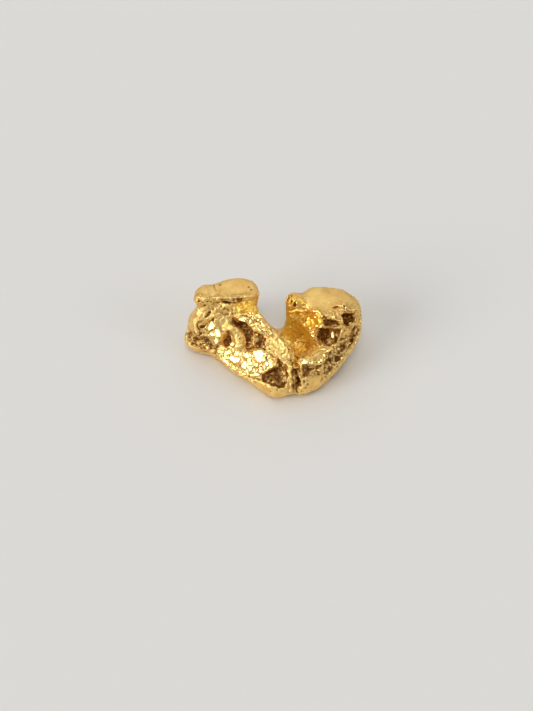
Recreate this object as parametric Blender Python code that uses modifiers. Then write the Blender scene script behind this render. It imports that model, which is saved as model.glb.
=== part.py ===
"""Gold nugget: one bent piece of native gold, drawn in millimetres and finished in metres.

Two limbs meet at a folded toe. The left limb is a sloping bar that rises to a body under an overhanging
cap; the right limb is a domed block with a scoop in its inner side. X runs to the right, Y to the back
and Z up.
"""

import math
import random

import bmesh
import bpy
from mathutils import Matrix, Vector, noise
from mathutils.bvhtree import BVHTree

NAME = "nugget"
METRES = 0.001  # one drawn millimetre

# Driving dimensions, in millimetres.
LENGTH = 9.6  # the finished size along X
GRID = 0.1  # the grid that fuses the forms
TRIANGLES = 9000

GOLD_COLOUR = (1.0, 0.76, 0.33, 1.0)
GOLD_ROUGHNESS = 0.3

# The relief of the front is drawn on a plane through the middle of the piece, tilted back as one looks
# at it from the front and above, and dropped onto the surface along the sight lines.
MIDDLE = Vector((0.0, 0.0, 1.9))
TILT = math.radians(51)
EYE_DISTANCE = 97.4
EYE_SIDE = Vector((0, -math.cos(TILT), math.sin(TILT)))
PLANE_UP = Vector((0, math.sin(TILT), math.cos(TILT)))

# Each form is the convex hull of its balls: (X, Y, Z), radius.
FORMS = {
    "toe": [((-4.07, 0.74, 0.78), 0.7), ((-3.2, 0.9, 1.0), 0.7), ((-3.3, 0.45, 0.62), 0.52)],
    "left_front": [
        ((-3.0, 0.36, 0.6), 0.52),
        ((-3.68, 1.08, 2.0), 0.86),
        ((-3.85, 1.1, 1.5), 0.74),
        ((-3.4, 1.2, 2.85), 0.66),
        ((-1.3, 1.1, 3.1), 0.5),
        ((-1.2, -0.2, 0.8), 0.6),
        ((-2.4, 1.7, 1.8), 0.9),
    ],
    "left_back": [((-3.1, 1.9, 0.8), 0.78), ((-2.3, 2.2, 1.5), 0.8), ((-2.6, 1.9, 2.7), 0.6)],
    "left_heel": [((-1.8, 1.85, 0.8), 0.7), ((-1.25, 1.4, 1.5), 0.62), ((-1.4, 1.6, 2.7), 0.52)],
    "back_knuckle": [((-2.9, 2.5, 2.3), 0.5), ((-2.1, 2.6, 1.3), 0.6), ((-3.4, 2.2, 1.2), 0.62)],
    "neck_knuckle": [((-1.6, 2.4, 2.6), 0.4), ((-1.3, 2.2, 3.3), 0.35), ((-1.2, 1.9, 2.2), 0.45)],
    "bar": [
        ((-2.95, 0.3, 0.6), 0.54),
        ((-1.5, -1.0, 0.56), 0.6),
        ((0.3, -2.45, 0.68), 0.68),
        ((-1.0, 0.8, 2.9), 0.4),
        ((-0.4, -0.05, 2.5), 0.34),
        ((0.7, -1.30, 2.0), 0.3),
        ((0.85, -2.25, 1.5), 0.34),
        ((-0.4, 0.7, 0.6), 0.5),
        ((0.8, -1.0, 0.6), 0.5),
    ],
    "toe_web": [((0.5, -2.35, 0.66), 0.58), ((1.5, -2.2, 0.66), 0.55), ((1.1, -1.6, 0.6), 0.55)],
    "cap": [
        ((-3.0, 1.2, 3.72), 0.33),
        ((-2.9, 1.8, 3.8), 0.33),
        ((-1.9, 2.17, 3.85), 0.34),
        ((-1.2, 2.0, 3.8), 0.34),
        ((-0.97, 1.5, 3.7), 0.33),
        ((-1.1, 1.17, 3.62), 0.32),
    ],
    "cap_ear": [
        ((-3.87, 1.15, 3.64), 0.37),
        ((-3.83, 1.45, 3.68), 0.4),
        ((-3.6, 1.68, 3.68), 0.4),
        ((-2.8, 1.3, 3.66), 0.3),
        ((-2.8, 1.7, 3.7), 0.32),
    ],
    "cap_neck": [((-2.6, 1.7, 3.2), 0.6), ((-1.35, 1.6, 3.15), 0.62)],
    "dome": [
        ((2.3, 1.93, 2.75), 0.7),
        ((3.5, 1.83, 2.62), 0.78),
        ((3.97, 1.42, 2.4), 0.86),
        ((4.02, 0.82, 2.0), 0.84),
        ((3.9, 0.36, 1.3), 0.78),
        ((2.6, 0.4, 2.6), 0.62),
        ((2.9, -0.8, 2.2), 0.52),
        ((2.3, 1.3, 1.6), 0.8),
        ((2.95, -1.06, 0.95), 0.64),
    ],
    "dome_root": [
        ((2.2, 1.7, 0.7), 0.68),
        ((3.3, 1.45, 0.9), 0.86),
        ((3.3, 0.6, 0.75), 0.7),
        ((2.0, 1.2, 1.4), 0.7),
    ],
    "dome_knuckle": [((2.5, 2.4, 2.3), 0.5), ((3.4, 2.3, 1.3), 0.65), ((2.1, 2.2, 0.9), 0.5)],
    "outer_wall": [
        ((3.05, -1.06, 0.92), 0.7),
        ((2.42, -1.75, 0.76), 0.66),
        ((1.7, -2.22, 0.72), 0.64),
        ((1.6, -2.0, 1.9), 0.33),
        ((2.5, -1.7, 2.1), 0.33),
        ((3.2, -0.8, 2.2), 0.44),
        ((1.6, -0.9, 0.6), 0.5),
    ],
    "column": [
        ((1.16, 1.76, 2.9), 0.5),
        ((1.2, 1.5, 1.2), 0.48),
        ((1.3, 1.6, 0.6), 0.45),
        ((2.2, 1.6, 2.4), 0.6),
        ((2.2, 1.6, 0.9), 0.6),
    ],
    "scoop_wall": [
        ((1.06, 1.02, 0.55), 0.4),
        ((1.95, 0.98, 0.55), 0.4),
        ((1.1, 1.5, 2.3), 0.4),
        ((1.95, 1.5, 2.3), 0.4),
    ],
    "bridge": [
        ((-0.1, 1.35, 0.38), 0.4),
        ((0.8, 1.38, 0.36), 0.42),
        ((1.9, 0.5, 0.36), 0.42),
        ((1.0, -0.8, 0.5), 0.5),
        ((0.2, 0.2, 0.4), 0.42),
    ],
}

# Each hollow is a hull too, cut out of the fused forms.
HOLLOWS = {
    "scoop": [
        ((1.5, 0.35, 2.75), 0.9),
        ((1.35, -0.3, 2.05), 0.75),
        ((1.6, -0.5, 3.2), 0.9),
        ((0.9, 0.2, 3.2), 0.9),
    ],
    "scoop_foot": [
        ((1.66, 0.3, 1.0), 0.4),
        ((1.66, 0.45, 1.5), 0.4),
        ((0.95, 0.3, 1.0), 0.4),
        ((1.55, 0.62, 2.1), 0.4),
        ((0.9, 0.62, 2.1), 0.4),
        ((1.3, -0.45, 1.05), 0.43),
        ((1.75, -0.2, 1.0), 0.4),
    ],
    "back_dent": [((3.1, 2.95, 1.6), 0.55), ((2.5, 3.0, 1.2), 0.5)],
    "left_dent": [((-3.2, 3.0, 2.3), 0.6), ((-2.6, 3.1, 2.5), 0.5)],
    "side_dent": [((5.05, 0.9, 1.1), 0.5), ((4.9, 1.5, 1.3), 0.4)],
    "belly_left": [((-2.4, 1.0, -0.9), 1.2), ((-1.3, 0.3, -0.9), 1.1)],
    "belly_right": [((2.2, 0.2, -1.0), 1.3), ((2.9, 0.8, -0.9), 1.15)],
    "belly_tip": [((0.2, -0.9, -1.0), 1.25), ((0.9, -1.4, -1.0), 1.2)],
}

# The bumps that the piece lies on, as balls. What reaches below the floor is worn off flat at Z 0.
FEET = [
    ((-3.75, 0.85, 0.26), 0.42),
    ((-2.9, 2.05, 0.3), 0.46),
    ((-1.5, 1.95, 0.3), 0.45),
    ((3.2, 1.7, 0.28), 0.45),
    ((2.5, -1.4, 0.28), 0.42),
    ((0.6, -2.3, 0.28), 0.42),
]

# Rolled edges, ribs and plates: a path of (across, up) on the drawing plane, the radius, and how far the
# centre line stands out of the surface.
RIDGES = {
    "bar_crest": ([(-0.73, 1.25), (-0.4, 0.75), (0.0, 0.22), (0.48, -0.35), (0.9, -0.95)], 0.18, 0.0),
    "cap_rim": ([(-3.7, 2.05), (-3.2, 1.98), (-2.6, 2.12), (-1.9, 2.0), (-1.3, 2.1), (-0.95, 2.3)], 0.2, 0.0),
    "cap_fold": ([(-3.2, 2.2), (-3.05, 2.75)], 0.22, -0.08),
    "upper_plate": ([(-1.72, 1.0), (-1.3, 0.95), (-0.85, 0.6), (-0.45, 0.3)], 0.26, -0.08),
    "toe_fold": ([(0.99, -1.0), (1.05, -1.67), (1.03, -2.37), (1.0, -2.9)], 0.14, 0.02),
    "thumb": ([(-2.3, 0.5), (-2.05, 0.5), (-1.83, 0.1), (-1.78, -0.45)], 0.33, -0.04),
    "left_bulge": ([(-4.1, 0.9), (-4.0, 0.3)], 0.35, -0.1),
    "bar_lip": ([(-2.8, -1.1), (-1.9, -1.72), (-0.95, -2.28), (-0.1, -2.75)], 0.17, 0.0),
    "scoop_sill": (
        [(1.48, -1.34), (2.12, -1.34), (2.52, -1.37), (2.77, -1.02), (2.98, -0.75), (3.31, -0.48)],
        0.15,
        0.03,
    ),
    "wall_seam": ([(2.72, -1.34), (2.61, -1.83), (2.75, -2.25)], 0.13, 0.02),
    "pit_brow": ([(3.75, 1.67), (4.12, 1.48), (4.4, 1.42)], 0.14, 0.05),
    "pit_web": ([(2.62, 0.6), (3.25, 0.55), (3.74, 0.55)], 0.14, 0.06),
    "scoop_brow": ([(2.18, 1.4), (2.45, 1.38), (2.68, 1.13)], 0.12, 0.02),
    "scoop_rib": ([(1.59, 1.34), (1.69, 0.91), (1.77, 0.56), (2.07, 0.35)], 0.15, 0.0),
    "outer_rib": ([(4.3, 0.2), (3.8, -0.6), (3.1, -1.4)], 0.15, 0.02),
}

# Grooves are cut along a path in the same way: the path, the radius, and the height of the centre line.
GROOVES = {
    "thumb_right": ([(-2.07, 0.83), (-1.72, 0.6), (-1.37, 0.34), (-1.28, -0.05), (-1.33, -0.55)], 0.2, 0.0),
    "plate_foot": ([(-1.37, 0.38), (-0.94, 0.2), (-0.5, 0.0)], 0.16, 0.0),
    "facet_head": ([(-3.25, 0.91), (-3.6, 0.7), (-3.93, 0.57), (-3.93, 0.2)], 0.14, 0.0),
    "bar_step": ([(-3.04, -0.5), (-3.04, -0.98)], 0.14, 0.02),
    "toe_crease": ([(1.22, -1.1), (1.29, -1.56), (1.35, -1.99), (1.44, -2.47), (1.4, -2.85)], 0.18, 0.06),
    "cap_slot": ([(-3.0, 1.76), (-2.6, 1.9), (-2.0, 1.74), (-1.5, 1.84), (-1.1, 1.72)], 0.2, 0.02),
    "slot_pit": ([(2.72, 1.05), (3.09, 0.84), (3.5, 0.7)], 0.17, 0.0),
    "brow_slot": ([(3.31, 1.6), (3.72, 1.55)], 0.12, 0.02),
    "knob_slit": ([(0.86, 2.2), (0.86, 1.9)], 0.1, 0.0),
    "outer_groove": ([(4.45, 0.55), (4.2, -0.3), (3.6, -1.1)], 0.12, 0.03),
}

# Pits are hulls of small balls round the mouth and one at the bottom: the mouth's outline, the radius of
# its balls, and how deep the bottom lies.
PITS = {
    "dark_pit": ([(2.3, 0.0), (2.75, 0.3), (3.55, 0.25), (3.45, -0.16), (2.93, -0.45)], 0.1, 0.8),
    "ledge_pit": ([(3.8, 1.2), (4.28, 1.22), (4.25, 0.88), (3.9, 0.72)], 0.1, 0.65),
    "bar_pit": ([(0.33, -1.45), (-0.38, -2.1), (0.5, -2.55), (0.7, -1.9)], 0.12, 0.5),
    "thumb_left": ([(-2.3, 0.22), (-2.62, -0.22), (-2.45, -0.5), (-2.27, -0.16)], 0.12, 0.4),
    "facet": ([(-3.25, 0.75), (-3.55, 0.45), (-3.4, 0.1), (-2.85, 0.1), (-3.05, 0.6)], 0.12, 0.12),
    "foil_dent": ([(-2.2, -1.05), (-1.7, -1.2), (-1.9, -1.45)], 0.12, 0.15),
    "loop_dent": ([(-1.1, -1.5), (-0.75, -1.5), (-0.85, -1.85)], 0.1, 0.2),
    "crumple_dent": ([(-0.95, 0.0), (-0.45, -0.25), (-0.6, -0.55), (-1.0, -0.4)], 0.12, 0.2),
    "crater": ([(-2.6, 1.34), (-2.45, 1.34)], 0.14, 0.2),
    "left_pit": ([(-3.44, 1.26)], 0.14, 0.2),
    "neck_pit": ([(-1.6, 1.24), (-1.45, 1.27)], 0.12, 0.2),
    "knob_pit": ([(1.18, 1.83)], 0.12, 0.2),
    "wall_pits": ([(1.85, -1.85), (2.4, -1.8)], 0.14, 0.25),
    "band_pit_1": ([(3.95, -0.15), (4.2, 0.0)], 0.13, 0.22),
    "band_pit_2": ([(3.7, -0.5)], 0.14, 0.22),
    "band_pit_3": ([(3.35, -1.2)], 0.14, 0.22),
    "band_pit_4": ([(2.9, -1.55)], 0.13, 0.2),
}
MOUTH_LIFT = 0.12  # the mouth's balls stand this far out of the surface, so that they cut through it

# The back, the sides and the underside get bumps and pits at random, seeded, where they keep this far
# inside the outline that the front shows: how many, how far apart, the radii from and to, and the share
# of the radius by which the centre is sunk.
HIDDEN_SEED = 11
OUTLINE_MARGIN = 0.6
BUMPS = (60, 0.7, (0.25, 0.55), 0.5)
DINTS = (44, 0.6, (0.14, 0.26), 0.1)
ASIDE = 0.6  # how far the second ball of each lies from the first, as a share of the radius

# A slow swell and flat facets over all, as (size, height), stronger on what is turned away from the front.
SWELL = (1.3, 0.22)
FACET = (0.8, 0.35)
FRONT_SHARE = 0.15
TURNED_AWAY = (0.15, 0.5)  # where the share starts to rise, and where it is whole
REGAIN = 0.045  # makes up for what the rounding takes off
THIN = 0.7  # where the body is thinner than this, what is turned away grows outwards to make it up
SKIN_DEPTH = 0.01  # how far below the surface the thickness is measured from
FACET_RAMP = 4.0  # how quickly a facet rises from its borders
LEAN_KEY = 57.0  # picks each facet's lean from its centre


def add_shells(mesh, hulls):
    """Adds one closed convex shell for each group of balls to the mesh."""
    whole = bmesh.new()
    whole.from_mesh(mesh)
    for balls in hulls:
        shell = bmesh.new()
        for centre, radius in balls:
            place = Matrix.Translation(centre)
            bmesh.ops.create_icosphere(shell, subdivisions=3, radius=radius, matrix=place)
        bmesh.ops.delete(shell, geom=shell.edges[:], context="EDGES_FACES")
        made = bmesh.ops.convex_hull(shell, input=shell.verts[:])
        spare = {g for g in made["geom_interior"] + made["geom_unused"] if isinstance(g, bmesh.types.BMVert)}
        bmesh.ops.delete(shell, geom=list(spare), context="VERTS")
        bmesh.ops.recalc_face_normals(shell, faces=shell.faces[:])
        hull = bpy.data.meshes.new("hull")
        shell.to_mesh(hull)
        shell.free()
        whole.from_mesh(hull)
        bpy.data.meshes.remove(hull)
    whole.to_mesh(mesh)
    whole.free()


def gold():
    """Native gold, worn to a satin sheen."""
    material = bpy.data.materials.new("native gold")
    material.use_nodes = True
    shader = material.node_tree.nodes["Principled BSDF"]
    shader.inputs["Base Color"].default_value = GOLD_COLOUR
    shader.inputs["Metallic"].default_value = 1.0
    shader.inputs["Roughness"].default_value = GOLD_ROUGHNESS
    return material


def settle(obj):
    """Makes the evaluated object its own mesh."""
    mesh = bpy.data.meshes.new_from_object(obj.evaluated_get(bpy.context.evaluated_depsgraph_get()))
    obj.modifiers.clear()
    obj.data = mesh


def fuse(obj, soften):
    """Fuses what overlaps in the object into one skin, and rounds it a little."""
    remesh = obj.modifiers.new("fuse", "REMESH")
    remesh.mode = "VOXEL"
    remesh.voxel_size = GRID
    soft = obj.modifiers.new("soften", "SMOOTH")
    soft.factor = 0.5
    soft.iterations = soften
    settle(obj)


def new_object(name, hulls, collection, soften):
    """An object of these hulls, fused, in the collection."""
    mesh = bpy.data.meshes.new(name)
    add_shells(mesh, hulls)
    obj = bpy.data.objects.new(name, mesh)
    collection.objects.link(obj)
    fuse(obj, soften)
    return obj


def cut(obj, hulls):
    """Cuts the fused hulls out of the object."""
    cutter = new_object("cutter", hulls, obj.users_collection[0], soften=1)
    boolean = obj.modifiers.new("cut", "BOOLEAN")
    boolean.operation = "DIFFERENCE"
    boolean.object = cutter
    settle(obj)
    bpy.data.objects.remove(cutter)


def surface_tree(obj):
    """A search tree over the object's faces."""
    verts = [v.co.copy() for v in obj.data.vertices]
    return BVHTree.FromPolygons(verts, [tuple(p.vertices) for p in obj.data.polygons])


def drop(tree, across, up):
    """The place and normal of the surface under a place of the drawing plane."""
    aim = MIDDLE + Vector((across, 0, 0)) + PLANE_UP * up
    eye = MIDDLE + EYE_SIDE * EYE_DISTANCE
    sight = (aim - eye).normalized()
    place, normal, _, _ = tree.ray_cast(eye, sight)
    if place is None:  # just off the outline: the surface nearest to the sight line
        spots = [aim + sight * (GRID * step) for step in range(-40, 41)]
        place, normal, _, _ = min((tree.find_nearest(spot) for spot in spots), key=lambda found: found[3])
    return place, normal


def stroke_hulls(tree, drawn):
    """Hulls of one pair of balls after another along each drawn path."""
    hulls = []
    for path, radius, lift in drawn.values():
        dropped = [drop(tree, across, up) for across, up in path]
        balls = [(place + normal * lift, radius) for place, normal in dropped]
        hulls += [list(pair) for pair in zip(balls, balls[1:])]
    return hulls


def pit_hulls(tree, drawn):
    """A hull for each pit: small balls round its mouth and one at the bottom."""
    hulls = []
    for outline, radius, depth in drawn.values():
        mouth = [drop(tree, across, up) for across, up in outline]
        centre = sum((place for place, _ in mouth), Vector()) / len(mouth)
        outward = sum((normal for _, normal in mouth), Vector()).normalized()
        balls = [(place + outward * MOUTH_LIFT, radius) for place, _ in mouth]
        hulls.append(balls + [(centre - outward * depth, radius)])
    return hulls


def is_hidden(tree, place):
    """Whether the body stands before this place and all round it, seen from the front."""
    steps = (Vector((1, 0, 0)), Vector((-1, 0, 0)), PLANE_UP, -PLANE_UP)
    around = [place + step * OUTLINE_MARGIN + EYE_SIDE * OUTLINE_MARGIN for step in steps]
    return all(tree.ray_cast(start, EYE_SIDE)[0] is not None for start in around)


def hidden_spots(obj, tree, count, spacing, rng):
    """Places and normals spread at random over the sides that the front relief doesn't reach."""
    spots = []
    order = list(obj.data.vertices)
    rng.shuffle(order)
    for vertex in order:
        if len(spots) == count:
            break
        apart = all((vertex.co - place).length > spacing for place, _ in spots)
        if apart and is_hidden(tree, vertex.co):
            spots.append((vertex.co.copy(), vertex.normal.copy()))
    return spots


def hidden_hulls(obj, tree, kind, rng):
    """A lens-shaped pair of balls at each hidden spot."""
    count, spacing, radii, sink = kind
    hulls = []
    for place, normal in hidden_spots(obj, tree, count, spacing, rng):
        radius = rng.uniform(*radii)
        aside = Vector((rng.uniform(-1, 1), rng.uniform(-1, 1), rng.uniform(-1, 1))).cross(normal)
        aside *= ASIDE * radius / aside.length
        centre = place - normal * (sink * radius)
        hulls.append([(centre, radius), (centre + aside, radius * 0.7)])
    return hulls


def facet_height(place, size):
    """The height of a tilted flat at this place: each cell of a Voronoi pattern leans its own way."""
    distances, centres = noise.voronoi(place / size)
    lean = noise.cell_vector(centres[0] * LEAN_KEY) * 2 - Vector((1, 1, 1))
    edge = min(1.0, (distances[1] - distances[0]) * FACET_RAMP)
    return (place / size - centres[0]).dot(lean) * edge


def thickness(tree, vertex):
    """How far the body goes on behind the surface here, as far as matters."""
    start = vertex.co - vertex.normal * SKIN_DEPTH
    distance = tree.ray_cast(start, -vertex.normal, THIN)[3]
    return THIN if distance is None else distance + SKIN_DEPTH


def weather(obj):
    """Moves the surface in and out by the swell and the facets, and thickens what would be too thin."""
    start, whole = TURNED_AWAY
    tree = surface_tree(obj)
    for vertex in obj.data.vertices:
        turned = min(1.0, max(0.0, (-vertex.normal.dot(EYE_SIDE) - start) / (whole - start)))
        share = FRONT_SHARE + (1 - FRONT_SHARE) * turned
        height = noise.noise(vertex.co / SWELL[0]) * SWELL[1]
        height += facet_height(vertex.co, FACET[0]) * FACET[1]
        rise = height * share + REGAIN
        missing = THIN - thickness(tree, vertex)
        if turned and missing > 0:
            rise = max(rise, missing * turned)
        vertex.co += vertex.normal * rise


def thin(obj):
    """Collapses the mesh to its share of triangles."""
    obj.data.calc_loop_triangles()
    decimate = obj.modifiers.new("thin", "DECIMATE")
    decimate.ratio = TRIANGLES / len(obj.data.loop_triangles)
    settle(obj)


def connected(start):
    """All the vertices that edges join to this one."""
    found = {start}
    waiting = [start]
    while waiting:
        for edge in waiting.pop().link_edges:
            fresh = set(edge.verts) - found
            found |= fresh
            waiting += fresh
    return found


def drop_crumbs(bm):
    """Keeps only the largest of the separate bodies."""
    rest = set(bm.verts)
    bodies = []
    while rest:
        body = connected(next(iter(rest)))
        bodies.append(body)
        rest -= body
    crumbs = set(bm.verts) - max(bodies, key=len)
    bmesh.ops.delete(bm, geom=[v for v in bm.verts if v in crumbs], context="VERTS")


def flatten_underside(mesh):
    """Cuts off what reaches below the floor."""
    bm = bmesh.new()
    bm.from_mesh(mesh)
    geometry = bm.verts[:] + bm.edges[:] + bm.faces[:]
    bmesh.ops.bisect_plane(bm, geom=geometry, plane_co=(0, 0, 0), plane_no=(0, 0, -1), clear_outer=True)
    rims = [e for e in bm.edges if e.is_boundary]
    bmesh.ops.holes_fill(bm, edges=rims, sides=0)
    drop_crumbs(bm)
    bmesh.ops.triangulate(bm, faces=bm.faces[:])
    bmesh.ops.recalc_face_normals(bm, faces=bm.faces[:])
    bm.to_mesh(mesh)
    bm.free()


def finish_size(mesh):
    """Scales the drawn mesh to its length, in metres, with its middle over the origin and its foot at Z 0."""
    low = Vector([min(v.co[axis] for v in mesh.vertices) for axis in range(3)])
    high = Vector([max(v.co[axis] for v in mesh.vertices) for axis in range(3)])
    origin = Vector(((low.x + high.x) / 2, (low.y + high.y) / 2, low.z))
    scale = LENGTH / (high.x - low.x)
    mesh.transform(Matrix.Scale(scale * METRES, 4) @ Matrix.Translation(-origin))


def main():
    for obj in list(bpy.data.objects):
        bpy.data.objects.remove(obj)
    rng = random.Random(HIDDEN_SEED)
    collection = bpy.data.collections.new(NAME)
    bpy.context.scene.collection.children.link(collection)
    body = new_object(NAME, FORMS.values(), collection, soften=2)
    cut(body, HOLLOWS.values())
    fuse(body, soften=4)
    weather(body)
    fuse(body, soften=1)
    tree = surface_tree(body)
    grooves = stroke_hulls(tree, GROOVES)
    hollows = pit_hulls(tree, PITS)
    dints = hidden_hulls(body, tree, DINTS, rng)
    bumps = hidden_hulls(body, tree, BUMPS, rng)
    add_shells(body.data, stroke_hulls(tree, RIDGES) + bumps + [[foot] for foot in FEET])
    fuse(body, soften=1)
    cut(body, grooves + hollows + dints)
    fuse(body, soften=2)
    thin(body)
    flatten_underside(body.data)
    finish_size(body.data)
    body.data.name = NAME
    body.data.materials.append(gold())
    body.data.shade_smooth()


main()
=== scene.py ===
"""Gives the gold nugget its skin: the fine relief, the finish of native gold, and a plain stage.

The measured solid is copied, refined and carved. What shows from the front is drawn in millimetres on a
plane through the nugget's middle, square to the line of sight, and carved along the surface's normals.
The sides, the back and the underside get the same kinds of skin by noise that is the same each time.
"""

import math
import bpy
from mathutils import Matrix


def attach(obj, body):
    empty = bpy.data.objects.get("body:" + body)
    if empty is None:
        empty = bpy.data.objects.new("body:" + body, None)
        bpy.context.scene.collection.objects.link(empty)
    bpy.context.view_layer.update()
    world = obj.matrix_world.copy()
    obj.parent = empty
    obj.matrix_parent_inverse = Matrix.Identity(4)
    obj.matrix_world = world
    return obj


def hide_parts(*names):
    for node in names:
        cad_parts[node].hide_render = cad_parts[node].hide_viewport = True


bl_info = {
    "name": "Gold Nugget",
    "version": (1, 0, 0),
    "blender": (4, 5, 0),
    "location": "View3D > Sidebar > Nugget",
    "description": "Carves and finishes a native gold nugget around its measured solid",
    "category": "Add Mesh",
}

import bmesh
import bpy
import numpy as np
from bpy.props import FloatProperty, FloatVectorProperty, IntProperty, PointerProperty
from mathutils import Matrix, Vector, noise
from mathutils.bvhtree import BVHTree

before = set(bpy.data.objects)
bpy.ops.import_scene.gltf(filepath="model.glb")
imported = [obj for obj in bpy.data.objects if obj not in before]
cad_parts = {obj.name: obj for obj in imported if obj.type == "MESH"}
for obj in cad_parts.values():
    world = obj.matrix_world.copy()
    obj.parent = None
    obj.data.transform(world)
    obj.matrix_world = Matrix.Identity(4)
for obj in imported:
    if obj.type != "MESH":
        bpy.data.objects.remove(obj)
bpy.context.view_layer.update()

NODE = "nugget"
SKIN = "nugget_skin"
BODY = "root"
MM = 0.001  # metres; every length that names no other unit is in millimetres

# The view: the eye looks down on the nugget from the front.
TILT = math.radians(51)
RIGHT = np.array((1.0, 0.0, 0.0))
PLANE_UP = np.array((0.0, math.sin(TILT), math.cos(TILT)))
EYE_SIDE = np.array((0.0, -math.cos(TILT), math.sin(TILT)))
MIDDLE = np.array((-0.061, -0.163, 1.891))
AIM_ACROSS, AIM_UP = -0.323, -0.995  # from the middle to what the view's centre shows
AIM = MIDDLE + AIM_ACROSS * RIGHT + AIM_UP * PLANE_UP
EYE_DISTANCE = 97.4
EYE = AIM + EYE_DISTANCE * EYE_SIDE
SENSOR = 36.0
VIEW_LENGTH = 38.2  # how much of the plane the image's long side takes in

# The studio's softboxes: direction from the nugget, angular radius and width of the soft edge in
# degrees, brightness. The lens is the dark round the camera, and takes light away.
SOFTBOXES = {
    "window": ((-0.80, -0.45, 0.40), 13, 10, 4.8),
    "ceiling": ((0.0, 0.50, 0.87), 34, 24, 0.45),
    "fill": ((0.80, -0.35, 0.48), 9, 11, 1.8),
    "strip": ((0.0, -0.36, 0.93), 6, 5, 7.5),
    "lens": (tuple(EYE_SIDE), 14, 26, -0.22),
}
POLISH_FACES = ("window", "fill", "strip")  # the softboxes that flakes, glints and bright edges face
WALL_TOP = (0.12, 0.32)  # how steeply up the white card walls start and finish fading into the room
WALL_LIGHT = 0.52
ROOM_LIGHT = 0.33

# The nugget's outline as it shows from the front.
OUTLINE = [
    (-4.17, 1.85), (-4.27, 2.03), (-4.23, 2.21), (-4.17, 2.44), (-4.03, 2.62), (-3.9, 2.75), (-3.63, 2.85),
    (-3.22, 2.84), (-3.05, 2.91), (-2.64, 3.06), (-2.2, 3.15), (-1.57, 3.18), (-1.32, 3.15), (-1.12, 3.05),
    (-0.9, 2.89), (-0.73, 2.66), (-0.69, 2.44), (-0.72, 2.21), (-0.78, 1.94), (-0.82, 1.72), (-0.78, 1.5),
    (-0.63, 1.27), (-0.45, 1.02), (-0.22, 0.76), (-0.04, 0.58), (0.09, 0.48), (0.22, 0.44), (0.36, 0.47),
    (0.54, 0.56), (0.61, 0.82), (0.61, 1.72), (0.65, 1.99), (0.67, 2.21), (0.81, 2.39), (1.03, 2.46),
    (1.34, 2.46), (1.57, 2.43), (1.7, 2.53), (1.88, 2.63), (2.28, 2.7), (3.36, 2.7), (3.72, 2.64),
    (3.99, 2.55), (4.21, 2.42), (4.44, 2.24), (4.61, 1.99), (4.72, 1.72), (4.8, 1.4), (4.8, 0.82),
    (4.77, 0.38), (4.7, 0.02), (4.61, -0.25), (4.45, -0.52), (4.26, -0.83), (3.99, -1.15), (3.72, -1.51),
    (3.45, -1.85), (3.18, -2.13), (2.91, -2.4), (2.69, -2.62), (2.37, -2.82), (2.02, -2.96), (1.57, -3.14),
    (1.21, -3.15), (0.76, -3.26), (0.31, -3.29), (-0.13, -3.24), (-0.36, -3.09), (-0.63, -2.91),
    (-0.85, -2.74), (-1.12, -2.53), (-1.48, -2.29), (-1.75, -2.12), (-2.11, -1.92), (-2.42, -1.7),
    (-2.64, -1.54), (-2.91, -1.33), (-3.27, -1.12), (-3.58, -1.0), (-3.94, -0.83), (-4.35, -0.66),
    (-4.57, -0.52), (-4.69, -0.34), (-4.75, -0.07), (-4.72, 0.15), (-4.62, 0.35), (-4.59, 0.73),
    (-4.53, 1.0), (-4.39, 1.27), (-4.17, 1.52), (-4.0, 1.72),
]

# Zones of each kind of skin in front, as outlines on the plane. What lies in none of them is finely
# grained. First the crumpled foil.
FOIL = [
    [(-3.35, 0.95), (-3.1, 0.85), (-2.9, 0.45), (-2.65, 0.1), (-2.8, -0.35), (-3.1, -0.35), (-3.2, -0.05),
     (-3.5, 0.05), (-3.75, 0.45)],
    [(-2.95, -0.6), (-2.6, -0.5), (-2.0, -0.5), (-1.6, -0.8), (-1.0, -0.6), (-0.45, -0.6), (-0.1, -1.0),
     (0.15, -1.6), (-0.6, -2.05), (-1.2, -2.1), (-2.0, -1.65), (-2.7, -1.1)],
    [(-1.9, 1.0), (-1.3, 1.4), (-0.75, 1.4), (-0.3, 0.7), (0.1, 0.1), (-0.4, 0.0), (-1.0, 0.35), (-1.4, 0.7)],
]
# Gold that stones have worn to a satin.
WORN = [
    [(-4.3, 2.2), (-4.1, 2.7), (-3.5, 3.05), (-2.5, 3.35), (-1.2, 3.35), (-0.6, 2.8), (-0.55, 2.5),
     (-0.85, 2.3), (-1.3, 2.28), (-1.9, 2.3), (-2.6, 2.22), (-3.3, 2.25)],
    [(0.7, 2.6), (1.6, 2.65), (2.2, 2.9), (3.2, 2.9), (4.0, 2.75), (4.8, 2.1), (4.9, 1.5), (4.0, 1.75),
     (3.3, 1.8), (2.9, 1.3), (2.4, 1.5), (1.9, 1.65), (1.6, 2.1), (1.1, 2.2)],
    [(-4.8, -0.2), (-4.35, -0.45), (-3.9, -0.68), (-3.3, -0.85), (-2.8, -1.2), (-2.1, -1.78), (-1.0, -2.35),
     (-0.4, -2.5), (0.3, -2.88), (0.9, -2.9), (0.9, -3.5), (-0.2, -3.5), (-1.2, -2.9), (-2.4, -2.1),
     (-3.4, -1.3), (-4.6, -0.9)],
    [(-4.8, 0.9), (-4.3, 1.75), (-4.05, 1.7), (-4.2, 0.8)],
    [(1.65, -2.3), (2.6, -2.15), (2.85, -2.0), (2.95, -2.3), (2.3, -2.8), (1.6, -3.05)],
]
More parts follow.
